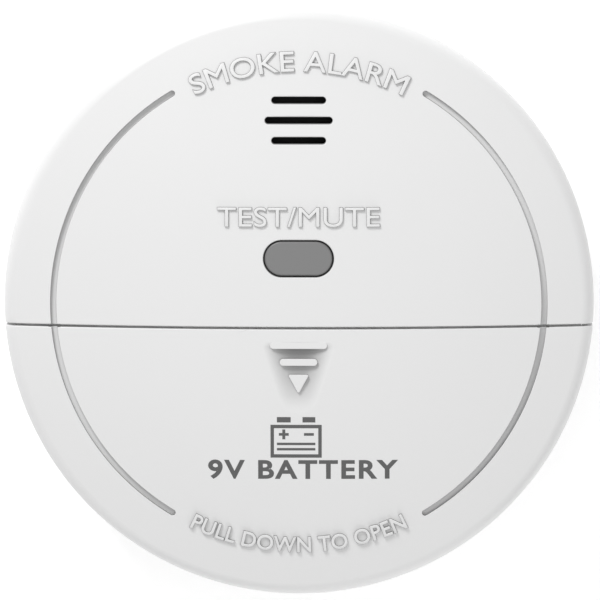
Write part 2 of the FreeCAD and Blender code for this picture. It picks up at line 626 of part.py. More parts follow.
def piezo_contacts():
    """Three bent spring fingers from the board to the disc."""
    fingers = []
    under = DISC_Z - ELEMENT_T
    for angle, radius, top in ((250.0, 6.0, under), (290.0, 6.0, under), (270.0, 10.5, DISC_Z)):
        x, y = polar(radius, angle, HORN_X, HORN_Y)
        outline = [
            V(0.0, 0, BOARD_TOP), V(2.4, 0, BOARD_TOP), V(2.4, 0, BOARD_TOP + 0.35),
            V(0.75, 0, BOARD_TOP + 0.35), V(2.1, 0, top), V(1.3, 0, top), V(0.0, 0, BOARD_TOP + 0.7),
        ]
        finger = Part.Face(Part.makePolygon(outline + outline[:1])).extrude(V(0, 1.4, 0))
        finger.translate(V(x, y, 0))
        fingers.append(finger)
    return group(fingers)


def horn_gasket():
    return tube(10.8, GASKET_IN, HORN_TOP, HORN_TOP + GASKET_T, HORN_X, HORN_Y)


def dust_felt():
    """A thin disc over the horn's outlet that keeps dust out."""
    return cylinder(GASKET_IN - 0.2, HORN_TOP, HORN_TOP + 0.5, HORN_X, HORN_Y)


# ---- battery tray and battery ------------------------------------------------------------------------------
def battery_tray():
    outer = block(-TRAY_X, TRAY_X, TRAY_Y0, TRAY_Y1, FLOOR_TOP, RAIL_Z + RAIL_T)
    inside = block(
        -TRAY_X + TRAY_WALL, TRAY_X - TRAY_WALL, TRAY_Y0 + 1.2, TRAY_Y1 - TRAY_WALL, TRAY_FLOOR_TOP, 40
    )
    bay = outer.cut(inside)
    finger_gap = block(-TRAY_X + 6, TRAY_X - 6, TRAY_Y0 - 1, TRAY_Y0 + 2, 23.5, 40)
    leads_notch = block(24.5, 32.2, TRAY_Y1 - 2, TRAY_Y1 + 1, 16.0, 40)
    bay = bay.cut(finger_gap).cut(leads_notch)
    flanges = []
    ears = []
    for side in (-1, 1):
        x0, x1 = sorted((side * (TRAY_X - 0.5), side * (TRAY_X + 2.3)))
        flanges.append(block(x0, x1, -37.5, -10.5, RAIL_Z, RAIL_Z + RAIL_T))
        screw_x, ear_top = side * TRAY_SCREW_X, TRAY_EAR_Z + TRAY_WALL
        x0, x1 = sorted((side * (TRAY_X - 0.5), screw_x))
        ear = block(x0, x1, TRAY_SCREW_Y - 3.0, TRAY_SCREW_Y + 3.0, TRAY_EAR_Z, ear_top)
        ear = ear.fuse(cylinder(3.0, TRAY_EAR_Z, ear_top, screw_x, TRAY_SCREW_Y))
        ears.append(ear.cut(cylinder(1.5, TRAY_EAR_Z - 1, ear_top + 1, screw_x, TRAY_SCREW_Y)))
    low = TRAY_FLOOR_TOP - 0.5
    carrier = block(CARRIER_X, CARRIER_X + 2.0, -36.0, -13.5, low, CARRIER_TOP)
    stops = [block(-28.4, -27.2, y - 2.5, y + 2.5, low, 22.0) for y in (-36.0, -14.0)]
    return fused(bay, carrier, *stops, *flanges, *ears)


def battery_case():
    low = TRAY_FLOOR_TOP
    y0, y1 = BATTERY_Y - BATTERY_W / 2, BATTERY_Y + BATTERY_W / 2
    case = block(BATTERY_X0, BATTERY_END - 0.6, y0, y1, low, low + BATTERY_T)
    return rounded(case, 2.4, lambda edge: edge.BoundBox.XLength > 20)


def battery_end_plate():
    low = TRAY_FLOOR_TOP + 0.3
    plate = block(
        BATTERY_END - 0.6, BATTERY_END, BATTERY_Y - BATTERY_W / 2 + 0.3, BATTERY_Y + BATTERY_W / 2 - 0.3,
        low, low + BATTERY_T - 0.6
    )
    return rounded(plate, 2.1, lambda edge: 0.5 < edge.BoundBox.XLength < 0.7)


def battery_snap(y, radius, bore):
    """A snap terminal on the battery's end; bore hollows the wide one."""
    z = TRAY_FLOOR_TOP + BATTERY_T / 2
    snap = Part.makeCylinder(radius, SNAP_H, V(BATTERY_END, y, z), X_AXIS)
    collar = Part.makeCylinder(radius + 0.5, 0.6, V(BATTERY_END, y, z), X_AXIS)
    snap = fused(snap, collar)
    if bore:
        snap = snap.cut(Part.makeCylinder(bore, SNAP_H, V(BATTERY_END + 0.8, y, z), X_AXIS))
    return snap


def battery_contact(y):
    """A folded spring strip over the carrier wall; its nose reaches to the snap."""
    width, thick, top = 6.0, SPRING_T, CARRIER_TOP
    front, back = CARRIER_X - 0.1, CARRIER_X + 2.1
    tip = BATTERY_END + SNAP_H + 0.05
    outer = [
        V(front, 0, top + 0.1), V(back, 0, top + 0.1), V(back, 0, 16.0), V(back + thick, 0, 16.0),
        V(back + thick, 0, top + 0.1 + thick), V(front - thick, 0, top + 0.1 + thick),
        V(tip, 0, 19.6), V(tip, 0, 16.8), V(front - thick, 0, 12.5), V(front, 0, 12.5),
        V(tip + thick, 0, 17.0), V(tip + thick, 0, 19.4), V(front, 0, top - 1.0),
    ]
    strip = Part.Face(Part.makePolygon(outer + outer[:1])).extrude(V(0, width, 0))
    strip.translate(V(0, y - width / 2, 0))
    return strip


def battery_leaf_spring():
    wall_x, tip_x = -TRAY_X + TRAY_WALL, BATTERY_X0
    low, high = TRAY_FLOOR_TOP + 1.5, TRAY_FLOOR_TOP + BATTERY_T - 1.5
    middle, thick = (low + high) / 2, SPRING_T
    outer = Part.Arc(V(wall_x + 0.1, 0, low), V(tip_x - 0.1, 0, middle), V(wall_x + 0.1, 0, high)).toShape()
    inner = Part.Arc(
        V(wall_x + 0.1, 0, high - 0.5), V(tip_x - 0.1 - thick, 0, middle), V(wall_x + 0.1, 0, low + 0.5)
    ).toShape()
    edges = [
        outer, Part.makeLine(V(wall_x + 0.1, 0, high), V(wall_x + 0.1, 0, high - 0.5)),
        inner, Part.makeLine(V(wall_x + 0.1, 0, low + 0.5), V(wall_x + 0.1, 0, low)),
    ]
    strip = Part.Face(Part.Wire(edges)).extrude(V(0, 10.0, 0))
    strip.translate(V(0, BATTERY_Y - 5.0, 0))
    return strip


def lead(points):
    """An insulated wire: straight runs joined by arcs as large as the runs allow."""
    corners = [V(*point) for point in points]
    edges, here = [], corners[0]
    for before, corner, after in zip(corners, corners[1:], corners[2:]):
        back, forward = before - corner, after - corner
        shorter = min(back.Length, forward.Length)
        back.normalize()
        forward.normalize()
        turn = math.pi - back.getAngle(forward)
        radius = 0.45 * shorter / math.tan(turn / 2)
        start, end = corner + back * (0.45 * shorter), corner + forward * (0.45 * shorter)
        inward = back + forward
        inward.normalize()
        centre = corner + inward * math.hypot(radius, 0.45 * shorter)
        edges.append(Part.makeLine(here, start))
        edges.append(Part.Arc(start, centre - inward * radius, end).toShape())
        here = end
    edges.append(Part.makeLine(here, corners[-1]))
    path = Part.Wire(edges)
    first = corners[1] - corners[0]
    section = Part.Wire(Part.makeCircle(LEAD_R, corners[0], first))
    swept = path.makePipeShell([section], True, True)
    print("lead", round(path.Length, 1), "mm along its route")
    return swept


# ---- export ------------------------------------------------------------------------------------------------
def pieces():
    """Every node: its name and its shape."""
    return {
        "mounting_bracket": mounting_bracket(),
        "base_housing": base_housing(),
        "front_cover": front_cover(),
        "battery_door": battery_door(),
        "test_button": test_button(),
        "switch_plunger": switch_plunger(),
        "tactile_switch": tactile_switch(),
        "circuit_board": circuit_board(),
        "status_led": status_led(),
        "microcontroller": microcontroller(),
        "capacitors": capacitors(),
        "horn_coil": horn_coil(),
        "chip_resistors": chip_resistors(),
        "board_screws": board_screws(),
        "cover_screws": cover_screws(),
        "tray_screws": tray_screws(),
        "optical_labyrinth": optical_labyrinth(),
        "chamber_cap": chamber_cap(),
        "insect_screen": insect_screen(),
        "infrared_led": sensor_capsule("infrared_led"),
        "photodiode": sensor_capsule("photodiode"),
        "horn_cup": horn_cup(),
        "piezo_disc": piezo_disc(),
        "piezo_element": piezo_element(),
        "piezo_contacts": piezo_contacts(),
        "horn_gasket": horn_gasket(),
        "dust_felt": dust_felt(),
        "battery_tray": battery_tray(),
        "battery_case": battery_case(),
        "battery_end_plate": battery_end_plate(),
        "battery_positive_snap": battery_snap(POSITIVE_Y, 2.9, 0.0),
        "battery_negative_snap": battery_snap(NEGATIVE_Y, 4.4, 3.3),
        "battery_contact_positive": battery_contact(POSITIVE_Y),
        "battery_contact_negative": battery_contact(NEGATIVE_Y),
        "battery_leaf_spring": battery_leaf_spring(),
        "battery_lead_red": lead(RED_ROUTE),
        "battery_lead_black": lead(BLACK_ROUTE),
    }


os.makedirs("parts", exist_ok=True)
for name, shape in pieces().items():
    solids = shape.Solids
    print(f"{name:26s} solids {len(solids):2d} valid {shape.isValid()} volume {shape.Volume:10.1f}")
    (solids[0] if len(solids) == 1 else Part.makeCompound(solids)).exportStep(f"parts/{name}.step")
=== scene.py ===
# %% [markdown]
# # A battery smoke detector
#
# A round white alarm about as wide as a hand. Its face is two mouldings that meet along a straight seam: a
# cover with the sounder slots and the test button, and a half-moon battery door that slides off. Behind them
# sit a vented base, the electronics and a twist-on ceiling bracket.
#
# The solids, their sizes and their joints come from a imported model. This lesson gives every piece its finish
# and builds, as new meshes, the pieces whose looks matter most.

# %% Load the frame
import math

import bmesh
import bpy
from mathutils import Matrix, Vector


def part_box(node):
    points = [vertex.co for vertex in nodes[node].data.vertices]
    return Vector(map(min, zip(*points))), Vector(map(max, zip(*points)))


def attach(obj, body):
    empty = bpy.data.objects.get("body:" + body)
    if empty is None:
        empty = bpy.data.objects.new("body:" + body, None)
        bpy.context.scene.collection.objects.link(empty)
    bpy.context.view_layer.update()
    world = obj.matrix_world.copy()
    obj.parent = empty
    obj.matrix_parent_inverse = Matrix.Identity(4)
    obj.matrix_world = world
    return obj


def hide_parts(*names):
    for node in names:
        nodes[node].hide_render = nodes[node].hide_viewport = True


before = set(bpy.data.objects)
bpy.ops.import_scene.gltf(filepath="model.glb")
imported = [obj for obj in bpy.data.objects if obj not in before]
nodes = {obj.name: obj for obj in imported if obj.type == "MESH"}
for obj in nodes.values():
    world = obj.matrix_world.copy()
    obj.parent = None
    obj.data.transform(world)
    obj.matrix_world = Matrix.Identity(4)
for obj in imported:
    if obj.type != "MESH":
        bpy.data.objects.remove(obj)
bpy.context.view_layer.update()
MM = 0.001

# %% [markdown]
# ## Camera
#
# The alarm lies on its back. A long lens a good way off keeps the round outline round. Tipping the camera six
# degrees towards the sounder slots shows a sliver of the rim on that side, which tells the eye that the face
# is domed. How far away it stands follows from the lens, and from a picture a little wider than the alarm.

# %% Place the camera
TILT, TURN = math.radians(6.0), math.radians(0.7)
VIEW_WIDTH = 122.4 * MM
camera_data = bpy.data.cameras.new("camera")
camera_data.sensor_width = 36.0
camera_data.lens = 500.0
camera = bpy.data.objects.new("camera", camera_data)
bpy.context.scene.collection.objects.link(camera)
bpy.context.scene.camera = camera

face_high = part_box("front_cover")[1]
door_low, door_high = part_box("battery_door")
skirt_middle_z = door_low.z + 3.15 * MM
aim = Vector((0.15 * MM, -0.05 * MM, skirt_middle_z))
towards = Vector((math.sin(TURN), math.sin(TILT), math.cos(TILT))).normalized()
distance = VIEW_WIDTH * camera_data.lens / camera_data.sensor_width
camera.location = aim + towards * distance
up = (Vector((0, 1, 0)) - towards * towards.y).normalized()
right = up.cross(towards)
camera.rotation_euler = Matrix((right, up, towards)).transposed().to_euler()
print("camera", round(distance, 3), "m away")

# %% [markdown]
# ## Floor and light
#
# White plastic on white needs soft light that still has a direction. A large panel beyond the sounder slots
# is the key, a wide weak one overhead fills, a small low one by the door lights the rim there, and the world
# adds an even glow. The floor glows a little, so that it stays whiter than the object. It is clear from
# below, so that the bracket's back can be looked at too.

# %% Lay the floor
def finish_mesh(name, mesh):
    """Turns a bmesh into an object at the origin, its place in its mesh."""
    data = bpy.data.meshes.new(name)
    mesh.to_mesh(data)
    mesh.free()
    piece = bpy.data.objects.new(name, data)
    bpy.context.scene.collection.objects.link(piece)
    return piece


def principled(name, **sockets):
    """A new node material, with its Principled shader's own sockets set."""
    material = bpy.data.materials.new(name)
    material.use_nodes = True
    shader = material.node_tree.nodes["Principled BSDF"]
    for socket, value in sockets.items():
        shader.inputs[socket.replace("_", " ")].default_value = value
    return material, material.node_tree, shader


FLOOR_DROP = 0.4 * MM
floor_mesh = bmesh.new()
bmesh.ops.create_grid(floor_mesh, x_segments=2, y_segments=2, size=6.0)
bmesh.ops.translate(floor_mesh, vec=(0, 0, -FLOOR_DROP), verts=floor_mesh.verts)
floor = finish_mesh("floor", floor_mesh)
floor_material, floor_tree, floor_shader = principled(
    "floor_white", Base_Color=(0.9, 0.9, 0.9, 1), Roughness=0.9
)
floor_shader.inputs["Emission Color"].default_value = (1, 1, 1, 1)
floor_shader.inputs["Emission Strength"].default_value = 0.4
back_seen = floor_tree.nodes.new("ShaderNodeNewGeometry").outputs["Backfacing"]
clear = floor_tree.nodes.new("ShaderNodeBsdfTransparent").outputs["BSDF"]
one_sided = floor_tree.nodes.new("ShaderNodeMixShader")
for feed, socket in zip((back_seen, floor_shader.outputs["BSDF"], clear), one_sided.inputs):
    floor_tree.links.new(feed, socket)
floor_tree.links.new(one_sided.outputs["Shader"], floor_tree.nodes["Material Output"].inputs["Surface"])
floor.data.materials.append(floor_material)
print("floor", round(FLOOR_DROP / MM, 1), "mm under the bracket")

# %% [markdown]
# ## Three soft boxes
#
# Each light is a square panel turned to the middle of the object. Bigger panels give softer shadows, and
# power has to grow with distance.

# %% Hang the lights
def area_light(name, place, size, power):
    """A square soft box that looks at the middle of the object."""
    data = bpy.data.lights.new(name, "AREA")
    data.size = size
    data.energy = power
    lamp = bpy.data.objects.new(name, data)
    lamp.location = place
    lamp.rotation_euler = (Vector(place) - aim).to_track_quat("Z", "Y").to_euler()
    bpy.context.scene.collection.objects.link(lamp)
    return lamp


area_light("key", (-0.42, 0.9, 0.72), 0.4, 8.9)
area_light("overhead", (0.15, -0.1, 1.6), 1.6, 8.6)
area_light("kicker", (0.3, -1.0, 0.2), 0.6, 3.0)
world = bpy.data.worlds.new("studio")
world.use_nodes = True
world.node_tree.nodes["Background"].inputs["Color"].default_value = (1, 1, 1, 1)
world.node_tree.nodes["Background"].inputs["Strength"].default_value = 0.35
bpy.context.scene.world = world
bpy.context.scene.view_settings.view_transform = "Standard"
print("three soft lights and a world")

# %% [markdown]
# ## Finishes are small graphs
#
# A finish is a graph of shader nodes that ends in one Principled shader. Wiring each node by hand takes four
# lines, so a few helpers do it: one adds any node and fills its inputs, one does a sum, one turns a range of
# values into another, one makes a colour ramp, and one lays a second colour over a finish where a mask says.

# %% Make helpers for shader nodes
def wired(tree, kind, inputs, **settings):
    """A new shader node. Each input gets a plain value or is linked to another node's output."""
    node = tree.nodes.new("ShaderNode" + kind)
    for name, value in settings.items():
        setattr(node, name, value)
    for key, feed in inputs.items():
        if isinstance(feed, bpy.types.NodeSocket):
            tree.links.new(feed, node.inputs[key])
        else:
            node.inputs[key].default_value = feed
    return node


def sums(tree, operation, *feeds, clamp=False):
    """The result of one Math node."""
    return wired(tree, "Math", dict(enumerate(feeds)), operation=operation, use_clamp=clamp).outputs["Value"]


def ranged(tree, feed, low, high, to_low=0.0, to_high=1.0):
    """Turns low to high into to_low to to_high, and stops at both ends."""
    inputs = {"Value": feed, "From Min": low, "From Max": high, "To Min": to_low, "To Max": to_high}
    return wired(tree, "MapRange", inputs).outputs["Result"]


def ramped(tree, feed, first, last, last_at=1.0, interpolation="LINEAR"):
    """Turns a value into a colour, from the first at zero to the last at last_at."""
    node = wired(tree, "ValToRGB", {"Fac": feed})
    ramp = node.color_ramp
    ramp.interpolation = interpolation
    ramp.elements[0].color = (*first, 1)
    ramp.elements[1].position = last_at
    ramp.elements[1].color = (*last, 1)
    return node.outputs["Color"]


def place_on(tree, output="Object", axis=None):
    """The point's own place, or its normal, on the piece; or one coordinate of it."""
    place = tree.nodes.new("ShaderNodeTexCoord").outputs[output]
    if axis is None:
        return place
    return wired(tree, "SeparateXYZ", {"Vector": place}).outputs[axis]


def painted(material, amount, colour):
    """Lays a second colour over a finish, as much as the amount says."""
    tree = material.node_tree
    base = tree.nodes["Principled BSDF"].inputs["Base Color"]
    inputs = {"Factor": amount, "A": base.links[0].from_socket, "B": (*colour, 1)}
    tree.links.new(wired(tree, "Mix", inputs, data_type="RGBA").outputs["Result"], base)


print("node helpers ready")

# %% [markdown]
# ## Moulded plastic
#
# Moulded plastic is never perfectly even: the tool's surface leaves a fine grain, and the colour drifts very
# slightly over a wall. Both come from noise on Object coordinates, so the pattern stays on the piece. An
# image could do the same, but noise needs no file and has no seams.

# %% Grain the plastics
DRIFT_SIZE = 14 * MM


def grained(name, colour, roughness, grain_mm=0.25, depth_mm=0.004, drift=0.02, **sockets):
    """A finish with a fine moulded grain and a slow drift of colour."""
    material, tree, shader = principled(name, Roughness=roughness, **sockets)
    place = place_on(tree)
    slow = wired(tree, "TexNoise", {"Vector": place, "Scale": 1 / DRIFT_SIZE, "Detail": 3})
    darker = [part * (1 - drift) for part in colour]
    lighter = [min(part * (1 + drift), 1) for part in colour]
    tree.links.new(ramped(tree, slow.outputs["Fac"], darker, lighter), shader.inputs["Base Color"])
    grain = wired(tree, "TexNoise", {"Vector": place, "Scale": 1 / (grain_mm * MM), "Detail": 2})
    depth = {"Strength": 1.0, "Distance": depth_mm * MM, "Height": grain.outputs["Fac"]}
    tree.links.new(wired(tree, "Bump", depth).outputs["Normal"], shader.inputs["Normal"])
    return material


finishes = {}
for slot, level, roughness, grain, depth, drift in (
    ("face_white", (0.80, 0.80, 0.80), 0.42, 0.3, 0.006, 0.006),
    ("housing_white", (0.73, 0.73, 0.725), 0.48, 0.25, 0.006, 0.008),
    ("bracket_white", (0.70, 0.70, 0.695), 0.52, 0.25, 0.008, 0.01),
    ("button_grey", (0.205, 0.205, 0.205), 0.40, 0.25, 0.003, 0.01),
    ("print_grey", (0.105, 0.105, 0.105), 0.50, 0.25, 0.001, 0.01),
    ("letter_white", (0.80, 0.80, 0.80), 0.42, 0.25, 0.003, 0.004),
    ("battery_ink", (0.62, 0.62, 0.62), 0.40, 0.25, 0.001, 0.01),
):
    finishes[slot] = grained(slot, level, roughness, grain, depth, drift)
print(len(finishes), "plastics and inks")

# %% [markdown]
# ## The materials inside
#
# The same recipe does for metal, rubber, felt and resin: the numbers for colour, gloss, grain and metal tell
# them apart. Felt also gets a sheen, and the clear resin of the light source lets light through.

# %% Mix the inner finishes
for slot, colour, roughness, grain, depth, drift, metal in (
    ("black_plastic", (0.03, 0.03, 0.03), 0.5, 0.25, 0.006, 0.1, 0.0),
    ("board_green", (0.012, 0.13, 0.045), 0.3, 0.12, 0.004, 0.15, 0.0),
    ("red_lens", (0.75, 0.02, 0.02), 0.12, 0.5, 0.001, 0.05, 0.0),
    ("black_epoxy", (0.02, 0.02, 0.02), 0.55, 0.1, 0.008, 0.15, 0.0),
    ("capacitor_sleeve", (0.03, 0.05, 0.12), 0.25, 0.6, 0.004, 0.08, 0.0),
    ("copper_wire", (0.72, 0.30, 0.12), 0.3, 0.2, 0.003, 0.12, 1.0),
    ("zinc_screw", (0.68, 0.68, 0.70), 0.32, 0.15, 0.006, 0.06, 1.0),
    ("chamber_black", (0.015, 0.015, 0.015), 0.7, 0.2, 0.012, 0.1, 0.0),
    ("screen_steel", (0.6, 0.6, 0.61), 0.35, 0.3, 0.004, 0.05, 0.7),
    ("dark_epoxy", (0.04, 0.03, 0.05), 0.15, 0.5, 0.001, 0.1, 0.0),
    ("horn_black", (0.04, 0.04, 0.04), 0.5, 0.25, 0.006, 0.08, 0.0),
    ("disc_brass", (0.80, 0.58, 0.24), 0.28, 0.35, 0.003, 0.06, 1.0),
    ("piezo_ceramic", (0.85, 0.84, 0.80), 0.35, 0.15, 0.004, 0.03, 0.3),
    ("spring_steel", (0.64, 0.64, 0.65), 0.25, 0.5, 0.003, 0.05, 1.0),
    ("gasket_rubber", (0.05, 0.05, 0.05), 0.85, 0.35, 0.05, 0.15, 0.0),
    ("black_felt", (0.02, 0.02, 0.02), 0.95, 0.12, 0.05, 0.2, 0.0),
    ("battery_sleeve", (0.07, 0.075, 0.09), 0.28, 1.2, 0.004, 0.05, 0.0),
    ("nickel", (0.78, 0.77, 0.75), 0.16, 0.5, 0.002, 0.04, 1.0),
    ("lead_red", (0.55, 0.015, 0.015), 0.35, 0.3, 0.003, 0.05, 0.0),
    ("lead_black", (0.02, 0.02, 0.02), 0.35, 0.3, 0.003, 0.1, 0.0),
):
    finishes[slot] = grained(slot, colour, roughness, grain, depth, drift, Metallic=metal)
clear_blue = (0.85, 0.9, 0.93)
finishes["clear_epoxy"] = grained("clear_epoxy", clear_blue, 0.08, 0.5, 0.001, 0.02, Transmission_Weight=0.85)
finishes["black_felt"].node_tree.nodes["Principled BSDF"].inputs["Sheen Weight"].default_value = 0.4
print(len(finishes), "finishes in all")

# %% [markdown]
# ## Painted shade in the hollows
#
# The ring groove and the thumb scoop are only a millimetre or two deep, and soft light would almost lose
# them, so shade is painted into them: the face's colour turns greyer the deeper a point lies, and on the
# walls.
# The face is part of a sphere, so how far a point lies under its skin is one distance. Masks keep the grey
# off the outer shoulder, the inside of the shell and the seam.

# %% Paint shade into the hollows
DOME_R, GROOVE_R = 250 * MM, 49.9 * MM
SHADE_STARTS, SHADE_FULL, SKIN_DEEP = 0.03 * MM, 1.6 * MM, 2.15 * MM
dome_centre = Vector((0, 0, face_high.z - DOME_R))
seam_y = door_high.y + 0.25 * MM


def painted_hollow_shade(material, hollow_shade_colour):
    """Paints shade on what lies under the face's skin, the more the deeper, and on the walls that stand up."""
    tree = material.node_tree
    place, facing = place_on(tree), place_on(tree, "Normal", "Z")
    arm = wired(tree, "VectorMath", {0: place, 1: dome_centre}, operation="DISTANCE").outputs["Value"]
    flat = wired(tree, "VectorMath", {0: place, 1: (1, 1, 0)}, operation="MULTIPLY").outputs["Vector"]
    reach = wired(tree, "VectorMath", {0: flat}, operation="LENGTH").outputs["Value"]
    depth = ranged(tree, arm, DOME_R - SHADE_STARTS, DOME_R - SHADE_FULL)
    on_ring = sums(tree, "COMPARE", reach, GROOVE_R, 1.2 * MM)
    eased = sums(tree, "MULTIPLY", depth, ranged(tree, on_ring, 0.0, 1.0, 1.0, 0.1))
    walls = ranged(tree, facing, 0.9, 0.5, 0.0, 0.9)
    at_seam = sums(tree, "COMPARE", place_on(tree, "Object", "Y"), seam_y, 0.6 * MM)
    masks = (
        ranged(tree, reach, 55.0 * MM, 54.0 * MM),
        ranged(tree, facing, -0.4, -0.2),
        sums(tree, "GREATER_THAN", arm, DOME_R - SKIN_DEEP),
        sums(tree, "LESS_THAN", arm, DOME_R - 0.05 * MM),
        sums(tree, "SUBTRACT", 1.0, sums(tree, "SUBTRACT", at_seam, on_ring, clamp=True)),
    )
    amount = sums(tree, "MAXIMUM", eased, walls)
    for mask in masks:
        amount = sums(tree, "MULTIPLY", amount, mask)
    painted(material, amount, hollow_shade_colour)


# Painted shade: the grey that the groove, the scoop and their walls are darkened towards.
painted_hollow_shade(finishes["face_white"], (0.24, 0.24, 0.24))
print("seam at", round(seam_y / MM, 2), "mm")

# %% [markdown]
# ## The letters' walls and the battery's sleeve
#
# Raised letters in the face's own colour are read by their walls alone, so shade is painted on the walls: the
# normal's height tells a wall from a top. The sleeve's pale band lies between two places along the block, so
# one comparison of the X coordinate draws it.

# %% Paint shade on the letters' walls and band the sleeve
def painted_wall_shade(material, wall_shade_colour):
    """Paints shade on the walls of raised letters."""
    facing = place_on(material.node_tree, "Normal", "Z")
    painted(material, ranged(material.node_tree, facing, 0.95, 0.55), wall_shade_colour)


def banded(material, low, high, band_colour):
    """Paints a plain band between two places along X."""
    along = place_on(material.node_tree, "Object", "X")
    inside = sums(material.node_tree, "COMPARE", along, (low + high) / 2, (high - low) / 2)
    painted(material, inside, band_colour)


battery_low, battery_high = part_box("battery_case")
BAND_FROM, BAND_TO = battery_high.x - 13 * MM, battery_high.x - 4 * MM
# Painted shade: the letters' walls are darkened towards this grey, so that the letters read.
painted_wall_shade(finishes["letter_white"], (0.20, 0.20, 0.20))
banded(finishes["battery_sleeve"], BAND_FROM, BAND_TO, (0.45, 0.45, 0.46))
print("band", round((BAND_TO - BAND_FROM) / MM, 1), "mm wide")

# %% [markdown]
# ## Screen and board
#
# The insect screen is a strip of steel with hundreds of etched holes. Real holes would cost many thousands of
# faces for something seen only through the vents, so two waves, one round the strip and one up it, paint
# them. The board's copper shows through its green mask as thin lines, drawn along the edges of uneven cells.

# %% Etch the screen and the board
HOLES_ROUND, HOLE_PITCH, TRACK_PITCH = 160.0, 0.8 * MM, 3.2 * MM


def woven(material, middle):
    """Dark holes and bright bars, from waves of angle and height round the strip's own middle."""
    tree = material.node_tree
    own = wired(tree, "VectorMath", {0: place_on(tree), 1: middle}, operation="SUBTRACT").outputs["Vector"]
    split = wired(tree, "SeparateXYZ", {"Vector": own}).outputs
    angle = sums(tree, "ARCTAN2", split["Y"], split["X"])
    rows = sums(tree, "SINE", sums(tree, "MULTIPLY", angle, HOLES_ROUND))
    lines = sums(tree, "SINE", sums(tree, "MULTIPLY", split["Z"], 2 * math.pi / HOLE_PITCH))
    hole = sums(tree, "MINIMUM", rows, lines)
    colour = ramped(tree, hole, (0.55, 0.55, 0.56), (0.01, 0.01, 0.01), last_at=0.15)
    tree.links.new(colour, tree.nodes["Principled BSDF"].inputs["Base Color"])


def etched(material, copper_colour):
    """Copper lines under the solder mask."""
    tree = material.node_tree
    inputs = {"Vector": place_on(tree), "Scale": 1 / TRACK_PITCH, "Randomness": 0.55}
    cells = wired(tree, "TexVoronoi", inputs, feature="DISTANCE_TO_EDGE").outputs["Distance"]
    tracks = ramped(tree, cells, (1, 1, 1), (0, 0, 0), last_at=0.07, interpolation="CONSTANT")
    painted(material, tracks, copper_colour)


screen_low, screen_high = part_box("insect_screen")
woven(finishes["screen_steel"], (screen_low + screen_high) / 2)
etched(finishes["board_green"], (0.03, 0.24, 0.08))
print("screen", round((screen_high.z - screen_low.z) / MM, 1), "mm high")

# %% [markdown]
# ## Finishes go on to the solids
#
# Each solid came with a material slot whose name says what it is made of. Only the slot's material changes,
# and the solid's mesh is left alone.

# %% Put the finishes on
for node in nodes.values():
    slot = node.data.materials[0].name
    if slot in finishes:
        node.data.materials[0] = finishes[slot]
print(len(nodes), "solids")

# %% [markdown]
# ## The form of the face
#
# Cover, door and button share one form: a very flat sphere, a small rounded shoulder and a straight skirt.
# Drawing half of its section once and spinning it about the middle gives a clean shell of even quads, and
# every later detail can ask `dome_height` how high the face is at its place.

# %% Draw the face's section
SHOULDER_R, WALL = 3 * MM, 2 * MM
skirt_z, face_r = door_low.z, face_high.x


def dome_height(x, y, inset=0.0):
    """How high the face stands at a place, or a skin that lies inset below it."""
    return dome_centre.z + math.sqrt((DOME_R - inset) ** 2 - x * x - y * y)


def face_section(inset, rings=30, bends=7):
    """Half of the face's section from the crown to the skirt's foot, moved in by inset."""
    shoulder_x = face_r - SHOULDER_R
    rise = math.sqrt((DOME_R - SHOULDER_R) ** 2 - shoulder_x**2)
    lean = math.atan2(shoulder_x, rise)
    points = []
    for i in range(rings + 1):
        angle = lean * i / rings
        radius = DOME_R - inset
        points.append(Vector((radius * math.sin(angle), 0, dome_centre.z + radius * math.cos(angle))))
    for i in range(1, bends + 1):
        angle = lean + (math.pi / 2 - lean) * i / bends
        radius = SHOULDER_R - inset
        corner = Vector((shoulder_x, 0, dome_centre.z + rise))
        points.append(corner + Vector((radius * math.sin(angle), 0, radius * math.cos(angle))))
    points.append(Vector((face_r - inset, 0, skirt_z)))
    return points


def outward(mesh):
    """Turns every face of a closed mesh outwards."""
    bmesh.ops.recalc_face_normals(mesh, faces=mesh.faces)
    return mesh


def spun(points, steps=256, angle=2 * math.pi, closed=True):
    """A bmesh made by spinning a line of points about the Z axis."""
    mesh = bmesh.new()
    corners = [mesh.verts.new(point) for point in points]
    line = [mesh.edges.new(pair) for pair in zip(corners, corners[1:])]
    bmesh.ops.spin(
        mesh, geom=corners + line, cent=(0, 0, 0), axis=(0, 0, 1), angle=angle, steps=steps, use_merge=closed
    )
    bmesh.ops.remove_doubles(mesh, verts=mesh.verts, dist=0.001 * MM)
    return outward(mesh)


outer_line, inner_line = face_section(0.0), face_section(WALL)
print("face section", len(outer_line) + len(inner_line), "points")

# %% [markdown]
# ## Two shells from one
#
# The cover and the door are the same shell cut by two parallel planes. Vertices close to a plane are drawn
# onto it first, which avoids slivers. The fresh edge is filled, then its outer rim gets a small round, as any
# moulding has where two of them meet.

# %% Cut the shell along the seam
SEAM_ROUND = 0.22 * MM
door_edge_y = door_high.y
cover_edge_y = door_edge_y + 0.5 * MM


def close_holes(mesh):
    """Fills every open rim with one face."""
    bmesh.ops.holes_fill(mesh, edges=[edge for edge in mesh.edges if edge.is_boundary])
    return outward(mesh)


def cut_across(mesh, y, keep, near, draw_near=False):
    """Cuts a mesh by a plane across Y and closes it; keep is 1 for the upper side and -1 for the lower."""
    bmesh.ops.bisect_plane(
        mesh, geom=mesh.verts[:] + mesh.edges[:] + mesh.faces[:], dist=near, plane_co=(0, y, 0),
        plane_no=(0, keep, 0), clear_inner=True, use_snap_center=draw_near
    )
    return close_holes(mesh)


def soften(mesh, geom, offset, segments=3, affect="EDGES"):
    """Rounds edges or corners."""
    bmesh.ops.bevel(
        mesh, geom=geom, offset=offset, segments=segments, profile=0.5, affect=affect, material=-1
    )


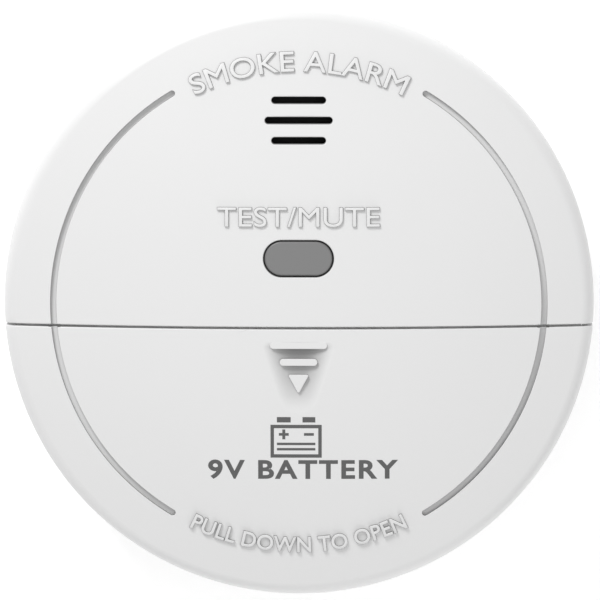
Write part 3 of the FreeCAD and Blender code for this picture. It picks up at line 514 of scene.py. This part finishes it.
def half_shell(edge_y, keep):
    """The face's shell on one side of a plane, with a round on its outer rim."""
    mesh = cut_across(spun(outer_line + inner_line[::-1]), edge_y, keep, 0.35 * MM, draw_near=True)
    sharp = []
    for edge in mesh.edges:
        on_plane = all(abs(corner.co.y - edge_y) < 0.001 * MM for corner in edge.verts)
        middle = (edge.verts[0].co + edge.verts[1].co) / 2
        outside = math.hypot(middle.x, middle.y) > face_r - WALL / 2
        outside = outside or middle.z > dome_height(middle.x, middle.y, WALL / 2)
        if on_plane and outside and middle.z > skirt_z + 0.1 * MM:
            sharp.append(edge)
    soften(mesh, sharp, SEAM_ROUND)
    return mesh


cover_mesh = half_shell(cover_edge_y, 1)
door_mesh = half_shell(door_edge_y, -1)
print("cover", len(cover_mesh.faces), "faces; door", len(door_mesh.faces))

# %% [markdown]
# ## Openings with rounded lips
#
# A slot could be cut sharp and its edge bevelled afterwards, but bevels are fragile on a cut surface. Instead
# the cutter carries the round: it starts wide above the face and narrows in a quarter circle, so the slot is
# born with a soft lip. Each narrower ring is the one above it extruded, lowered and drawn in.

# %% Make round-ended cutters
LIP = 0.25 * MM


def onto_dome(mesh):
    """Lifts a flat-built mesh so that its zero height follows the face."""
    for corner in mesh.verts:
        corner.co.z += dome_height(corner.co.x, corner.co.y)


def sink(mesh, faces, inset, depth):
    """Lowers faces by depth, walls following, and narrows them by inset."""
    made = bmesh.ops.extrude_face_region(mesh, geom=faces)["geom"]
    left_over = [face for face in faces if face.is_valid]
    bmesh.ops.delete(mesh, geom=left_over, context="FACES_ONLY")
    floor_faces = [item for item in made if isinstance(item, bmesh.types.BMFace)]
    corners = [item for item in made if isinstance(item, bmesh.types.BMVert)]
    middle_x = max(abs(corner.co.x) for corner in corners)
    width = max(corner.co.y for corner in corners) - min(corner.co.y for corner in corners)
    centre_y = (max(corner.co.y for corner in corners) + min(corner.co.y for corner in corners)) / 2
    end_x = middle_x - width / 2
    for corner in corners:
        away = Vector((corner.co.x - math.copysign(end_x, corner.co.x), corner.co.y - centre_y, 0))
        corner.co -= away.normalized() * inset
        corner.co.z -= depth
    return floor_faces


def pill_cutter(name, length, width, centre_y, depth):
    """A cutter for a round-ended slot along X, with a flared mouth."""
    mesh = bmesh.new()
    turn = Matrix.Rotation(math.pi / 48, 4, "Z")
    bmesh.ops.create_circle(mesh, cap_ends=True, segments=48, radius=width / 2 + LIP, matrix=turn)
    reach = (length - width) / 2
    for corner in mesh.verts:
        corner.co.x += math.copysign(reach, corner.co.x)
        corner.co.y += centre_y
        corner.co.z = 1.5 * MM
    face = mesh.faces[:]
    bmesh.ops.reverse_faces(mesh, faces=face)
    face = sink(mesh, face, 0.0, 1.5 * MM)
    for i in range(4):
        low, high = math.pi / 2 * i / 4, math.pi / 2 * (i + 1) / 4
        face = sink(
            mesh, face, LIP * (math.sin(high) - math.sin(low)), LIP * (math.cos(low) - math.cos(high))
        )
    sink(mesh, face, 0.0, depth)
    onto_dome(close_holes(mesh))
    return finish_mesh(name, mesh)


print("lip", round(LIP / MM, 2), "mm")

# %% [markdown]
# ## The ring's cutter
#
# The groove is two arcs with round ends. One section, spun part of the way round, gives the trough; half of
# the same section, spun half a turn on the spot, gives each end. Joined, they leave a clean closed cutter.

# %% Make the ring's cutters
GROOVE_W, GROOVE_D, GROOVE_LIP = 1.17 * MM, 1.1 * MM, 0.14 * MM


def pour(whole, mesh):
    """Adds one bmesh to another and frees it."""
    scratch = bpy.data.meshes.new("scratch")
    mesh.to_mesh(scratch)
    mesh.free()
    whole.from_mesh(scratch)
    bpy.data.meshes.remove(scratch)


def groove_side(ring_r):
    """One side of the groove's section, from its floor's middle up to its mouth."""
    points = [Vector((ring_r, 0, -GROOVE_D)), Vector((ring_r + GROOVE_W / 2, 0, -GROOVE_D))]
    for i in range(4):
        angle = math.pi / 2 * i / 3
        flare, drop = GROOVE_LIP * (1 - math.cos(angle)), GROOVE_LIP * (1 - math.sin(angle))
        points.append(Vector((ring_r + GROOVE_W / 2 + flare, 0, -drop)))
    points.append(Vector((ring_r + GROOVE_W / 2 + GROOVE_LIP, 0, 1.5 * MM)))
    return points


def groove_cutter(name, start, span):
    """A cutter for one arc of the ring, with round ends."""
    side = groove_side(GROOVE_R)
    other_side = [Vector((2 * GROOVE_R - point.x, 0, point.z)) for point in side]
    trough = spun(other_side[::-1] + side[1:], steps=120, angle=span, closed=False)
    for at, way in ((0.0, -1), (span, 1)):
        end = spun(groove_side(0.0), steps=14, angle=way * math.pi, closed=False)
        end.transform(Matrix.Rotation(at, 4, "Z") @ Matrix.Translation((GROOVE_R, 0, 0)))
        pour(trough, end)
    bmesh.ops.remove_doubles(trough, verts=trough.verts, dist=0.002 * MM)
    close_holes(trough)
    trough.transform(Matrix.Rotation(start, 4, "Z"))
    onto_dome(trough)
    return finish_mesh(name, trough)


SLOT_W, SLOT_PITCH, SLOT_MIDDLE_Y = 1.4 * MM, 4.05 * MM, 37.5 * MM
button_low, button_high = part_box("test_button")
BUTTON_Y = (button_low.y + button_high.y) / 2
cover_cutters = [
    pill_cutter("slot_cutter", length * MM, SLOT_W, SLOT_MIDDLE_Y + row * SLOT_PITCH, 4 * MM)
    for row, length in ((-1, 11.0), (0, 13.7), (1, 11.0))
]
cover_cutters.append(pill_cutter("button_cutter", 14.3 * MM, 7.5 * MM, BUTTON_Y, 4 * MM))
half_gap = math.radians(31.0)
ring_cutters = [
    groove_cutter("ring_cutter", side + half_gap - math.pi / 2, math.pi - 2 * half_gap)
    for side in (0.0, math.pi)
]
print(len(cover_cutters) + len(ring_cutters), "cutters")

# %% [markdown]
# ## The thumb scoop
#
# A thumb needs a hollow with one steep wall to push against. The hollow is a height field: a fine grid whose
# points sink by a smooth formula, deepest under the wall and running out towards the rim and the sides. The
# same formula, made thick, is the bulge behind it that keeps the wall sound.

# %% Shape the scoop
SCOOP_DEEP, SCOOP_TOP, SCOOP_WALL_Y, SCOOP_END = 1.45 * MM, -7.3 * MM, -8.75 * MM, -23.0 * MM
SCOOP_HALF_W = 7.6 * MM


def smooth(t):
    t = min(max(t, 0.0), 1.0)
    return t * t * (3 - 2 * t)


def scoop_depth(x, y):
    """How far the scoop sinks below the face at a place."""
    fall = smooth((SCOOP_TOP - y) / (SCOOP_TOP - SCOOP_WALL_Y))
    along = min(max((y - SCOOP_END) / (SCOOP_WALL_Y - SCOOP_END), 0.0), 1.0)
    half_w = SCOOP_HALF_W * (0.4 + 0.6 * along)
    across = min(abs(x) / half_w, 1.0)
    return SCOOP_DEEP * fall * along * smooth(along * 3) * (1 - across**2.6) ** 2


def scoop_grid():
    """A fine flat grid over the scoop."""
    mesh = bmesh.new()
    bmesh.ops.create_grid(mesh, x_segments=68, y_segments=64, size=0.5)
    size = Vector((2 * SCOOP_HALF_W + 0.4 * MM, SCOOP_TOP - SCOOP_END, 1))
    bmesh.ops.scale(mesh, vec=size, verts=mesh.verts)
    bmesh.ops.translate(mesh, vec=(0, (SCOOP_TOP + SCOOP_END) / 2, 0), verts=mesh.verts)
    return mesh


def pulled(mesh, height):
    """Extrudes all faces of a flat mesh by a height and returns the corners that moved."""
    made = bmesh.ops.extrude_face_region(mesh, geom=mesh.faces[:])["geom"]
    moved = [item for item in made if isinstance(item, bmesh.types.BMVert)]
    bmesh.ops.translate(mesh, vec=(0, 0, height), verts=moved)
    return moved


def scoop_cutter():
    """The grid, sunk by the formula, with a lid above the face."""
    mesh = scoop_grid()
    bottom = mesh.verts[:]
    pulled(mesh, 2 * MM)
    for corner in bottom:
        corner.co.z = -scoop_depth(corner.co.x, corner.co.y) - 0.004 * MM
    onto_dome(outward(mesh))
    return finish_mesh("scoop_cutter", mesh)


def scoop_back():
    """The bulge behind the scoop."""
    mesh = scoop_grid()
    for corner in mesh.verts:
        corner.co.z = -scoop_depth(corner.co.x, corner.co.y) - 0.3 * MM
    onto_dome(mesh)
    outward(mesh)
    bmesh.ops.solidify(mesh, geom=mesh.faces[:], thickness=1.3 * MM)
    return outward(mesh)


door_cutters = [scoop_cutter()]
print("scoop", round(scoop_depth(0, SCOOP_WALL_Y) / MM, 2), "mm deep at its wall")

# %% [markdown]
# ## The slide mark
#
# Two bars and an arrowhead stand up out of the hollow and end level with the face. Each is a flat outline
# pulled up into a block, with its top edge rounded, and then lifted on to the dome.

# %% Raise the bars and the arrowhead
def raised(mesh, low, high, edge_round):
    """Pulls a flat face at zero up into a block from low to high with a rounded top rim."""
    bmesh.ops.translate(mesh, vec=(0, 0, low), verts=mesh.verts)
    top = pulled(mesh, high - low)
    rim = [edge for edge in mesh.edges if all(corner in top for corner in edge.verts)]
    soften(mesh, rim, edge_round)
    return outward(mesh)


def bar(length, width, centre_y, low, high, edge_round=0.14 * MM):
    """A raised round-ended bar along X."""
    mesh = bmesh.new()
    turn = Matrix.Rotation(math.pi / 28, 4, "Z")
    bmesh.ops.create_circle(mesh, cap_ends=True, segments=28, radius=width / 2, matrix=turn)
    for corner in mesh.verts:
        corner.co.x += math.copysign((length - width) / 2, corner.co.x)
        corner.co.y += centre_y
    return raised(mesh, low, high, edge_round)


def arrowhead(half_w, top_y, tip_y, low, high):
    """A raised triangle that points down the door."""
    mesh = bmesh.new()
    corners = [mesh.verts.new((x, y, 0)) for x, y in ((-half_w, top_y), (0, tip_y), (half_w, top_y))]
    mesh.faces.new(corners)
    soften(mesh, corners, 0.55 * MM, segments=5, affect="VERTICES")
    return raised(mesh, low, high, 0.14 * MM)


MARK_LOW, MARK_TOP = -1.9 * MM, 0.015 * MM
marks = [
    bar(11.7 * MM, 1.5 * MM, -8.0 * MM, MARK_LOW, MARK_TOP),
    bar(7.7 * MM, 1.5 * MM, -11.45 * MM, MARK_LOW, MARK_TOP),
    arrowhead(2.2 * MM, -13.95 * MM, -18.0 * MM, MARK_LOW, MARK_TOP),
]
for mark in marks:
    onto_dome(mark)
print(len(marks), "raised marks")

# %% [markdown]
# ## What the shells carry inside
#
# A moulding is more than its skin. The cover has four screw posts, a ledge that reaches under the door and
# small ribs in its shoulder; the door has ribs too, and two rails that slide under the battery tray's
# flanges. They are separate closed blocks that run into the wall, which is quicker than cutting them out of
# one shape and looks the same.

# %% Make blocks, posts and ribs
def block(low, high):
    """A box between two corners."""
    mesh = bmesh.new()
    bmesh.ops.create_cube(mesh, size=1.0)
    size = Vector(high) - Vector(low)
    bmesh.ops.scale(mesh, vec=size, verts=mesh.verts)
    bmesh.ops.translate(mesh, vec=(Vector(high) + Vector(low)) / 2, verts=mesh.verts)
    soften(mesh, mesh.edges[:], 0.15 * MM, segments=2)
    return mesh


def post(radius, x, y, low, high):
    """A round boss."""
    mesh = bmesh.new()
    bmesh.ops.create_cone(
        mesh, cap_ends=True, segments=32, radius1=radius, radius2=radius, depth=high - low,
        matrix=Matrix.Translation((x, y, (low + high) / 2))
    )
    return mesh


def hollow_wall(length, width, wall, centre_y, low):
    """A thin upright wall round a pill or a circle, from low up into the face."""
    mesh = bmesh.new()
    turn = Matrix.Rotation(math.pi / 40, 4, "Z")
    for inset in (0.0, wall):
        made = bmesh.ops.create_circle(mesh, segments=40, radius=width / 2 - inset, matrix=turn)["verts"]
        for corner in made:
            corner.co.x += math.copysign((length - width) / 2, corner.co.x)
    bmesh.ops.bridge_loops(mesh, edges=mesh.edges[:])
    bmesh.ops.translate(mesh, vec=(0, centre_y, low), verts=mesh.verts)
    for corner in pulled(mesh, 0):
        corner.co.z = dome_height(corner.co.x, corner.co.y, 1.5 * MM)
    return outward(mesh)


def rib(inner, degrees):
    """A small web that stiffens the shoulder."""
    roof = dome_height(58.6 * MM, 0, 2.5 * MM)
    mesh = block((inner, -0.6 * MM, 25.2 * MM), (58.6 * MM, 0.6 * MM, roof))
    mesh.transform(Matrix.Rotation(math.radians(degrees), 4, "Z"))
    return mesh


print("blocks ready")

# %% [markdown]
# ## Their places inside
#
# The ledge is a slice of the same dome, a little further in. The posts start level with the board's
# underside, just outside its edge, and end in the wall. The rails' feet hang just under the tray's flanges,
# whose height the frame tells.

# %% Put in posts, ledge and rails
LEDGE_FREE_Y, LEDGE_ROOT_Y = -6.25 * MM, -1.85 * MM
POST_RING, POST_R, RAIL_Y0, RAIL_Y1 = 50 * MM, 2.6 * MM, -36 * MM, -10 * MM


def seam_ledge():
    """The strip behind the seam, which stops light and dust."""
    mesh = spun(face_section(2.3 * MM) + face_section(3.6 * MM)[::-1])
    for y, keep in ((LEDGE_FREE_Y, 1), (LEDGE_ROOT_Y, -1)):
        cut_across(mesh, y, keep, 0.05 * MM)
    return mesh


board_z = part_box("circuit_board")[0].z
horn_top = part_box("horn_cup")[1].z
flange_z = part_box("battery_tray")[1].z - 1.2 * MM
cover_extras = [seam_ledge()]
for degrees in (5, 50, 130, 175):
    x, y = POST_RING * math.cos(math.radians(degrees)), POST_RING * math.sin(math.radians(degrees))
    cover_extras.append(post(POST_R, x, y, board_z, dome_height(x, y, 1.6 * MM)))
cover_extras.append(hollow_wall(22 * MM, 22 * MM, 2 * MM, SLOT_MIDDLE_Y, horn_top + 1.5 * MM))
cover_extras.append(hollow_wall(19.6 * MM, 12.8 * MM, 1.1 * MM, BUTTON_Y, 29.5 * MM))
cover_extras += [rib(54.6 * MM, degrees) for degrees in (25, 80, 100, 155)]
door_extras = marks + [scoop_back()] + [rib(52 * MM, degrees) for degrees in (215, 250, 290, 325)]
foot_z, foot_top = flange_z - 1.5 * MM, flange_z - 0.3 * MM
roof = dome_height(38.1 * MM, RAIL_Y0, 1.5 * MM)
for side in (-1, 1):
    leg = sorted((side * 36.6 * MM, side * 38.1 * MM))
    foot = sorted((side * 34.9 * MM, side * 38.1 * MM))
    door_extras.append(block((leg[0], RAIL_Y0, foot_z), (leg[1], RAIL_Y1, roof)))
    door_extras.append(block((foot[0], RAIL_Y0, foot_z), (foot[1], RAIL_Y1, foot_top)))
print(len(cover_extras), "cover extras,", len(door_extras), "door extras")

# %% [markdown]
# ## Cut, join and shade
#
# Each cutter is subtracted with an exact boolean. A cut leaves many-sided faces around each opening, and
# plain smooth shading would smudge there. The face is a true sphere, so every corner on it can be given the
# sphere's own normal, and the reflections stay calm right up to each lip.

# %% Carve the shells
def carve(piece, cutters):
    """Subtracts each cutter from a piece."""
    for cutter in cutters:
        cut = piece.modifiers.new("cut", "BOOLEAN")
        cut.operation = "DIFFERENCE"
        cut.solver = "EXACT"
        cut.object = cutter
    graph = bpy.context.evaluated_depsgraph_get()
    carved = bpy.data.meshes.new_from_object(piece.evaluated_get(graph))
    piece.modifiers.clear()
    piece.data = carved


def add_meshes(piece, extras):
    """Joins closed blocks to a piece."""
    whole = bmesh.new()
    whole.from_mesh(piece.data)
    for extra in extras:
        pour(whole, extra)
    whole.to_mesh(piece.data)
    whole.free()


def calm_dome(piece, sharp=32):
    """Smooth shading, with the sphere's own normals on the face."""
    mesh = piece.data
    mesh.shade_smooth()
    mesh.set_sharp_from_angle(angle=math.radians(sharp))
    normals = [corner.vector.copy() for corner in mesh.corner_normals]
    for face in mesh.polygons:
        for index in face.loop_indices:
            arm = mesh.vertices[mesh.loops[index].vertex_index].co - dome_centre
            on_dome = abs(arm.length - DOME_R) < 0.02 * MM
            if on_dome and face.normal.dot(arm.normalized()) > 0.9985:
                normals[index] = arm.normalized()
    mesh.normals_split_custom_set(normals)


cover_shell = finish_mesh("cover_shell", cover_mesh)
door_shell = finish_mesh("door_shell", door_mesh)
carve(cover_shell, cover_cutters + ring_cutters)
carve(door_shell, ring_cutters + door_cutters)
for cutter in cover_cutters + ring_cutters + door_cutters:
    bpy.data.objects.remove(cutter)
add_meshes(cover_shell, cover_extras)
add_meshes(door_shell, door_extras)
for shell, body, node in ((cover_shell, "alarm", "front_cover"), (door_shell, "door", "battery_door")):
    calm_dome(shell)
    shell.data.materials.clear()
    shell.data.materials.append(finishes["face_white"])
    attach(shell, body)
    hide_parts(node)
    print(shell.name, len(shell.data.polygons), "faces")

# %% [markdown]
# ## Raised lettering
#
# The words are cut into the mould, so they stand proud of the face with a small draft at their edges. A line
# of text becomes a mesh while it is still straight; then each point is bent on to its arc and lifted on to
# the dome. The foot goes a little below the face, so no gap can show.

# %% Bend the words on to the face
CAP_OF_SIZE, FOOT = 0.73, 0.15 * MM


def words(text, cap, width, height, weight, edge, spacing=1.0):
    """A straight line of capitals round the origin, from below zero up to its height."""
    curve = bpy.data.curves.new("words", "FONT")
    curve.body = text
    curve.size = cap / CAP_OF_SIZE
    curve.space_character = spacing
    curve.offset = weight - edge
    curve.bevel_depth = edge
    curve.bevel_resolution = 1
    curve.resolution_u = 5
    curve.extrude = height / 2 + FOOT - edge
    holder = bpy.data.objects.new("words", curve)
    bpy.context.scene.collection.objects.link(holder)
    graph = bpy.context.evaluated_depsgraph_get()
    data = bpy.data.meshes.new_from_object(holder.evaluated_get(graph))
    bpy.data.objects.remove(holder)
    bpy.data.curves.remove(curve)
    mesh = bmesh.new()
    mesh.from_mesh(data)
    bpy.data.meshes.remove(data)
    bmesh.ops.remove_doubles(mesh, verts=mesh.verts, dist=0.0005 * MM)
    bmesh.ops.dissolve_degenerate(mesh, edges=mesh.edges, dist=0.0005 * MM)
    lows = [min(corner.co[i] for corner in mesh.verts) for i in range(3)]
    highs = [max(corner.co[i] for corner in mesh.verts) for i in range(3)]
    stretch = Vector((width / (highs[0] - lows[0]), cap / (highs[1] - lows[1]), 1))
    middle = Vector([(low + high) / 2 for low, high in zip(lows, highs)])
    for corner in mesh.verts:
        corner.co = (corner.co - middle) * stretch
        corner.co.z += height - highs[2] + middle.z
    bmesh.ops.recalc_face_normals(mesh, faces=mesh.faces)
    return mesh


def bent(mesh, ring_r, top):
    """Bends a straight line of text round the ring's top or its bottom."""
    for corner in mesh.verts:
        angle = corner.co.x / ring_r
        out = ring_r + corner.co.y if top else ring_r - corner.co.y
        corner.co.x = out * math.sin(angle)
        corner.co.y = out * math.cos(angle) * (1 if top else -1)
    return mesh


def lettering(name, mesh, body, material, flat_z=None):
    """Lifts text on to the dome, or on to a flat top, and makes it a piece."""
    loose = sum(not edge.is_manifold for edge in mesh.edges)
    if flat_z is None:
        onto_dome(mesh)
    else:
        bmesh.ops.translate(mesh, vec=(0, 0, flat_z), verts=mesh.verts)
    piece = finish_mesh(name, mesh)
    piece.data.shade_smooth()
    piece.data.set_sharp_from_angle(angle=math.radians(24))
    piece.data.materials.clear()
    piece.data.materials.append(finishes[material])
    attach(piece, body)
    print(name, len(piece.data.polygons), "faces,", loose, "open edges")
    return piece


TOP_RING, DOOR_RING = 49.4 * MM, 49.3 * MM
top_w = 2 * math.radians(26.3) * TOP_RING
top_words = words("SMOKE ALARM", 4.2 * MM, top_w, 0.6 * MM, 0.09 * MM, 0.18 * MM)
lettering("top_lettering", bent(top_words, TOP_RING, True), "alarm", "letter_white")
test_words = words("TEST/MUTE", 4.05 * MM, 33.0 * MM, 0.55 * MM, 0.06 * MM, 0.17 * MM)
bmesh.ops.translate(test_words, vec=(0, 18.1 * MM, 0), verts=test_words.verts)
lettering("test_lettering", test_words, "alarm", "letter_white")
door_w = 2 * math.radians(26.0) * DOOR_RING
door_words = words("PULL DOWN TO OPEN", 3.4 * MM, door_w, 0.55 * MM, 0.16 * MM, 0.19 * MM)
lettering("door_lettering", bent(door_words, DOOR_RING, False), "door", "letter_white")

# %% [markdown]
# ## Pad print on the door
#
# Below the scoop is a grey print: a small drawing of a nine volt block and its name. Ink from a pad is a few
# hundredths of a millimetre thick. The drawing is a grid whose lines fall on the strokes' edges: squares
# outside the strokes are deleted and the rest gets its thickness. Long strokes have more grid lines, so that
# they follow the dome.

# %% Print the battery sign
INK_TOP, INK_FOOT, LONGEST = 0.02 * MM, 0.03 * MM, 1.5 * MM


def ruled(values):
    """The values in order, with more of them where two lie far apart."""
    lines = sorted({round(value, 7) for value in values})
    extra = []
    for low, high in zip(lines, lines[1:]):
        steps = math.ceil((high - low) / LONGEST)
        extra += [low + (high - low) * step / steps for step in range(1, steps)]
    return sorted(lines + extra)


def inked(strokes):
    """Flat strokes, each (low x, high x, low y, high y), that flow together where they meet."""
    columns = ruled([value for stroke in strokes for value in stroke[:2]])
    rows = ruled([value for stroke in strokes for value in stroke[2:]])
    mesh = bmesh.new()
    bmesh.ops.create_grid(mesh, x_segments=len(columns) - 1, y_segments=len(rows) - 1, size=0.5)
    for corner in mesh.verts:
        column = round((corner.co.x + 0.5) * (len(columns) - 1))
        row = round((corner.co.y + 0.5) * (len(rows) - 1))
        corner.co = (columns[column], rows[row], -INK_FOOT)
    bare = []
    for face in mesh.faces:
        x, y, _ = face.calc_center_median()
        if not any(x0 < x < x1 and y0 < y < y1 for x0, x1, y0, y1 in strokes):
            bare.append(face)
    bmesh.ops.delete(mesh, geom=bare, context="FACES")
    pulled(mesh, INK_TOP + INK_FOOT)
    return outward(mesh)


def join(meshes):
    """Puts several meshes into one."""
    whole = bmesh.new()
    for mesh in meshes:
        pour(whole, mesh)
    return whole


FRAME = [
    (-5.6, -4.9, -31.6, -24.8), (4.1, 4.8, -31.6, -24.8),
    (-5.6, 4.8, -25.5, -24.8), (-5.6, 4.8, -31.6, -30.9),
]
SNAPS = [(-4.3, -1.5, -24.3, -23.2), (0.9, 3.5, -24.3, -23.2)]
PLUS = [(-3.9, -1.9, -27.05, -26.5), (-3.2, -2.6, -27.8, -25.75)]
MINUS = [(1.2, 3.2, -27.05, -26.5)]
LINES = [(-4.3, 3.5, -29.0, -28.5), (-4.3, 3.5, -30.1, -29.6)]
drawn = [[value * MM for value in stroke] for stroke in FRAME + SNAPS + PLUS + MINUS + LINES]
sign = inked(drawn)
bmesh.ops.translate(sign, vec=(-0.1 * MM, 0.5 * MM, 0), verts=sign.verts)
name_words = words("9V BATTERY", 4.05 * MM, 38.6 * MM, INK_TOP, 0.16 * MM, 0.0, spacing=1.16)
bmesh.ops.translate(name_words, vec=(0.9 * MM, -33.6 * MM, 0), verts=name_words.verts)
lettering("door_print", join([sign, name_words]), "door", "print_grey")

# %% [markdown]
# ## The battery's print
#
# The block's sleeve says what it is, and a plus and a minus stand beside the snaps they belong to. The same
# ink strokes and letters do, laid on a flat side this time.

# %% Print the battery
battery_mid_y = (battery_low.y + battery_high.y) / 2
snaps = ("battery_positive_snap", "battery_negative_snap")
plus_y, minus_y = [sum(corner.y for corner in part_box(node)) / 2 for node in snaps]
poles_x = battery_high.x - 16.5 * MM
half_w, half_l = 0.5 * MM, 2 * MM
pole_strokes = [
    (poles_x - half_l, poles_x + half_l, plus_y - half_w, plus_y + half_w),
    (poles_x - half_w, poles_x + half_w, plus_y - half_l, plus_y + half_l),
    (poles_x - half_w, poles_x + half_w, minus_y - half_l, minus_y + half_l),
]
volts = words("9V", 9 * MM, 16 * MM, INK_TOP, 0.12 * MM, 0.0)
bmesh.ops.translate(volts, vec=(battery_low.x + 13 * MM, battery_mid_y, 0), verts=volts.verts)
battery_print = join([inked(pole_strokes), volts])
lettering("battery_print", battery_print, "alarm", "battery_ink", battery_high.z)

# %% [markdown]
# ## Witness marks on the bracket
#
# Pins push a moulding out of its tool and leave small rings on its hidden side. Rings a few hundredths of a
# millimetre high are enough to show that the back was moulded too.

# %% Ring the bracket's back
bracket_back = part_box("mounting_bracket")[0].z
PINS, PIN_RING, PIN_R, LINE_W = 8, 38 * MM, 2.0 * MM, 0.25 * MM
pin_rings = []
for pin in range(PINS):
    around = 2 * math.pi * (pin + 0.5) / PINS
    ring = bmesh.new()
    for radius in (PIN_R, PIN_R - LINE_W):
        bmesh.ops.create_circle(ring, segments=32, radius=radius)
    bmesh.ops.bridge_loops(ring, edges=ring.edges[:])
    place = (PIN_RING * math.cos(around), PIN_RING * math.sin(around), bracket_back + 0.1 * MM)
    bmesh.ops.translate(ring, vec=place, verts=ring.verts)
    pulled(ring, -0.15 * MM)
    pin_rings.append(outward(ring))
pin_marks = finish_mesh("bracket_pin_marks", join(pin_rings))
pin_marks.data.materials.append(finishes["bracket_white"])
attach(pin_marks, "bracket")
print(len(pin_rings), "pin marks")

# %% [markdown]
# ## The step-up coil
#
# The sounder needs more than nine volts, so a small coil on a ferrite bobbin raises it. Its section is easy
# to draw, so both parts are spun: the bobbin from its flanged outline, the winding from a row of wire rounds.

# %% Wind the coil
coil_low, coil_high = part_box("horn_coil")
coil_x, coil_y = (coil_low.x + coil_high.x) / 2, (coil_low.y + coil_high.y) / 2
coil_r, coil_foot = (coil_high.x - coil_low.x) / 2, coil_low.z


def turned(name, outline, slot):
    """Spins an outline of radius and height in millimetres about the coil's axis."""
    mesh = spun([Vector((r * MM, 0, coil_foot + z * MM)) for r, z in outline], steps=64)
    bmesh.ops.translate(mesh, vec=(coil_x, coil_y, 0), verts=mesh.verts)
    piece = finish_mesh(name, mesh)
    piece.data.shade_smooth()
    piece.data.set_sharp_from_angle(angle=math.radians(32))
    piece.data.materials.append(finishes[slot])
    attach(piece, "alarm")
    return piece


FLANGE_R, CORE_R, WOUND_R, WOUND_LOW, WOUND_TOP, TALL = 5.0, 3.5, 4.15, 1.21, 7.99, 9.2
ROUND, UNDER = 0.15, CORE_R - 0.2
bobbin_outline = [
    (0, 0), (FLANGE_R - ROUND, 0), (FLANGE_R, ROUND), (FLANGE_R, 1.05), (FLANGE_R - ROUND, 1.2),
    (CORE_R, 1.2), (CORE_R, 8), (FLANGE_R - ROUND, 8), (FLANGE_R, 8.15), (FLANGE_R, TALL - ROUND),
    (FLANGE_R - ROUND, TALL), (1.0, TALL), (0.8, 8.6), (0, 8.6),
]
bobbin = turned("coil_bobbin", bobbin_outline, "black_epoxy")
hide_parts("horn_coil")
WIRE_R, TURNS = 0.21, 16
pitch = (WOUND_TOP - WOUND_LOW - 2 * WIRE_R) / (TURNS - 1)
winding_outline = [(UNDER, WOUND_LOW), (UNDER, WOUND_TOP)]
for turn in range(TURNS):
    wire_z = WOUND_TOP - WIRE_R - turn * pitch
    for step in range(6):
        around = math.pi / 2 - math.pi * step / 5
        winding_outline.append((WOUND_R + WIRE_R * math.cos(around), wire_z + WIRE_R * math.sin(around)))
winding_outline.append((UNDER, WOUND_LOW))
turned("coil_winding", winding_outline, "copper_wire")
print("coil", round(coil_r / MM, 1), "mm in radius,", TURNS, "turns")
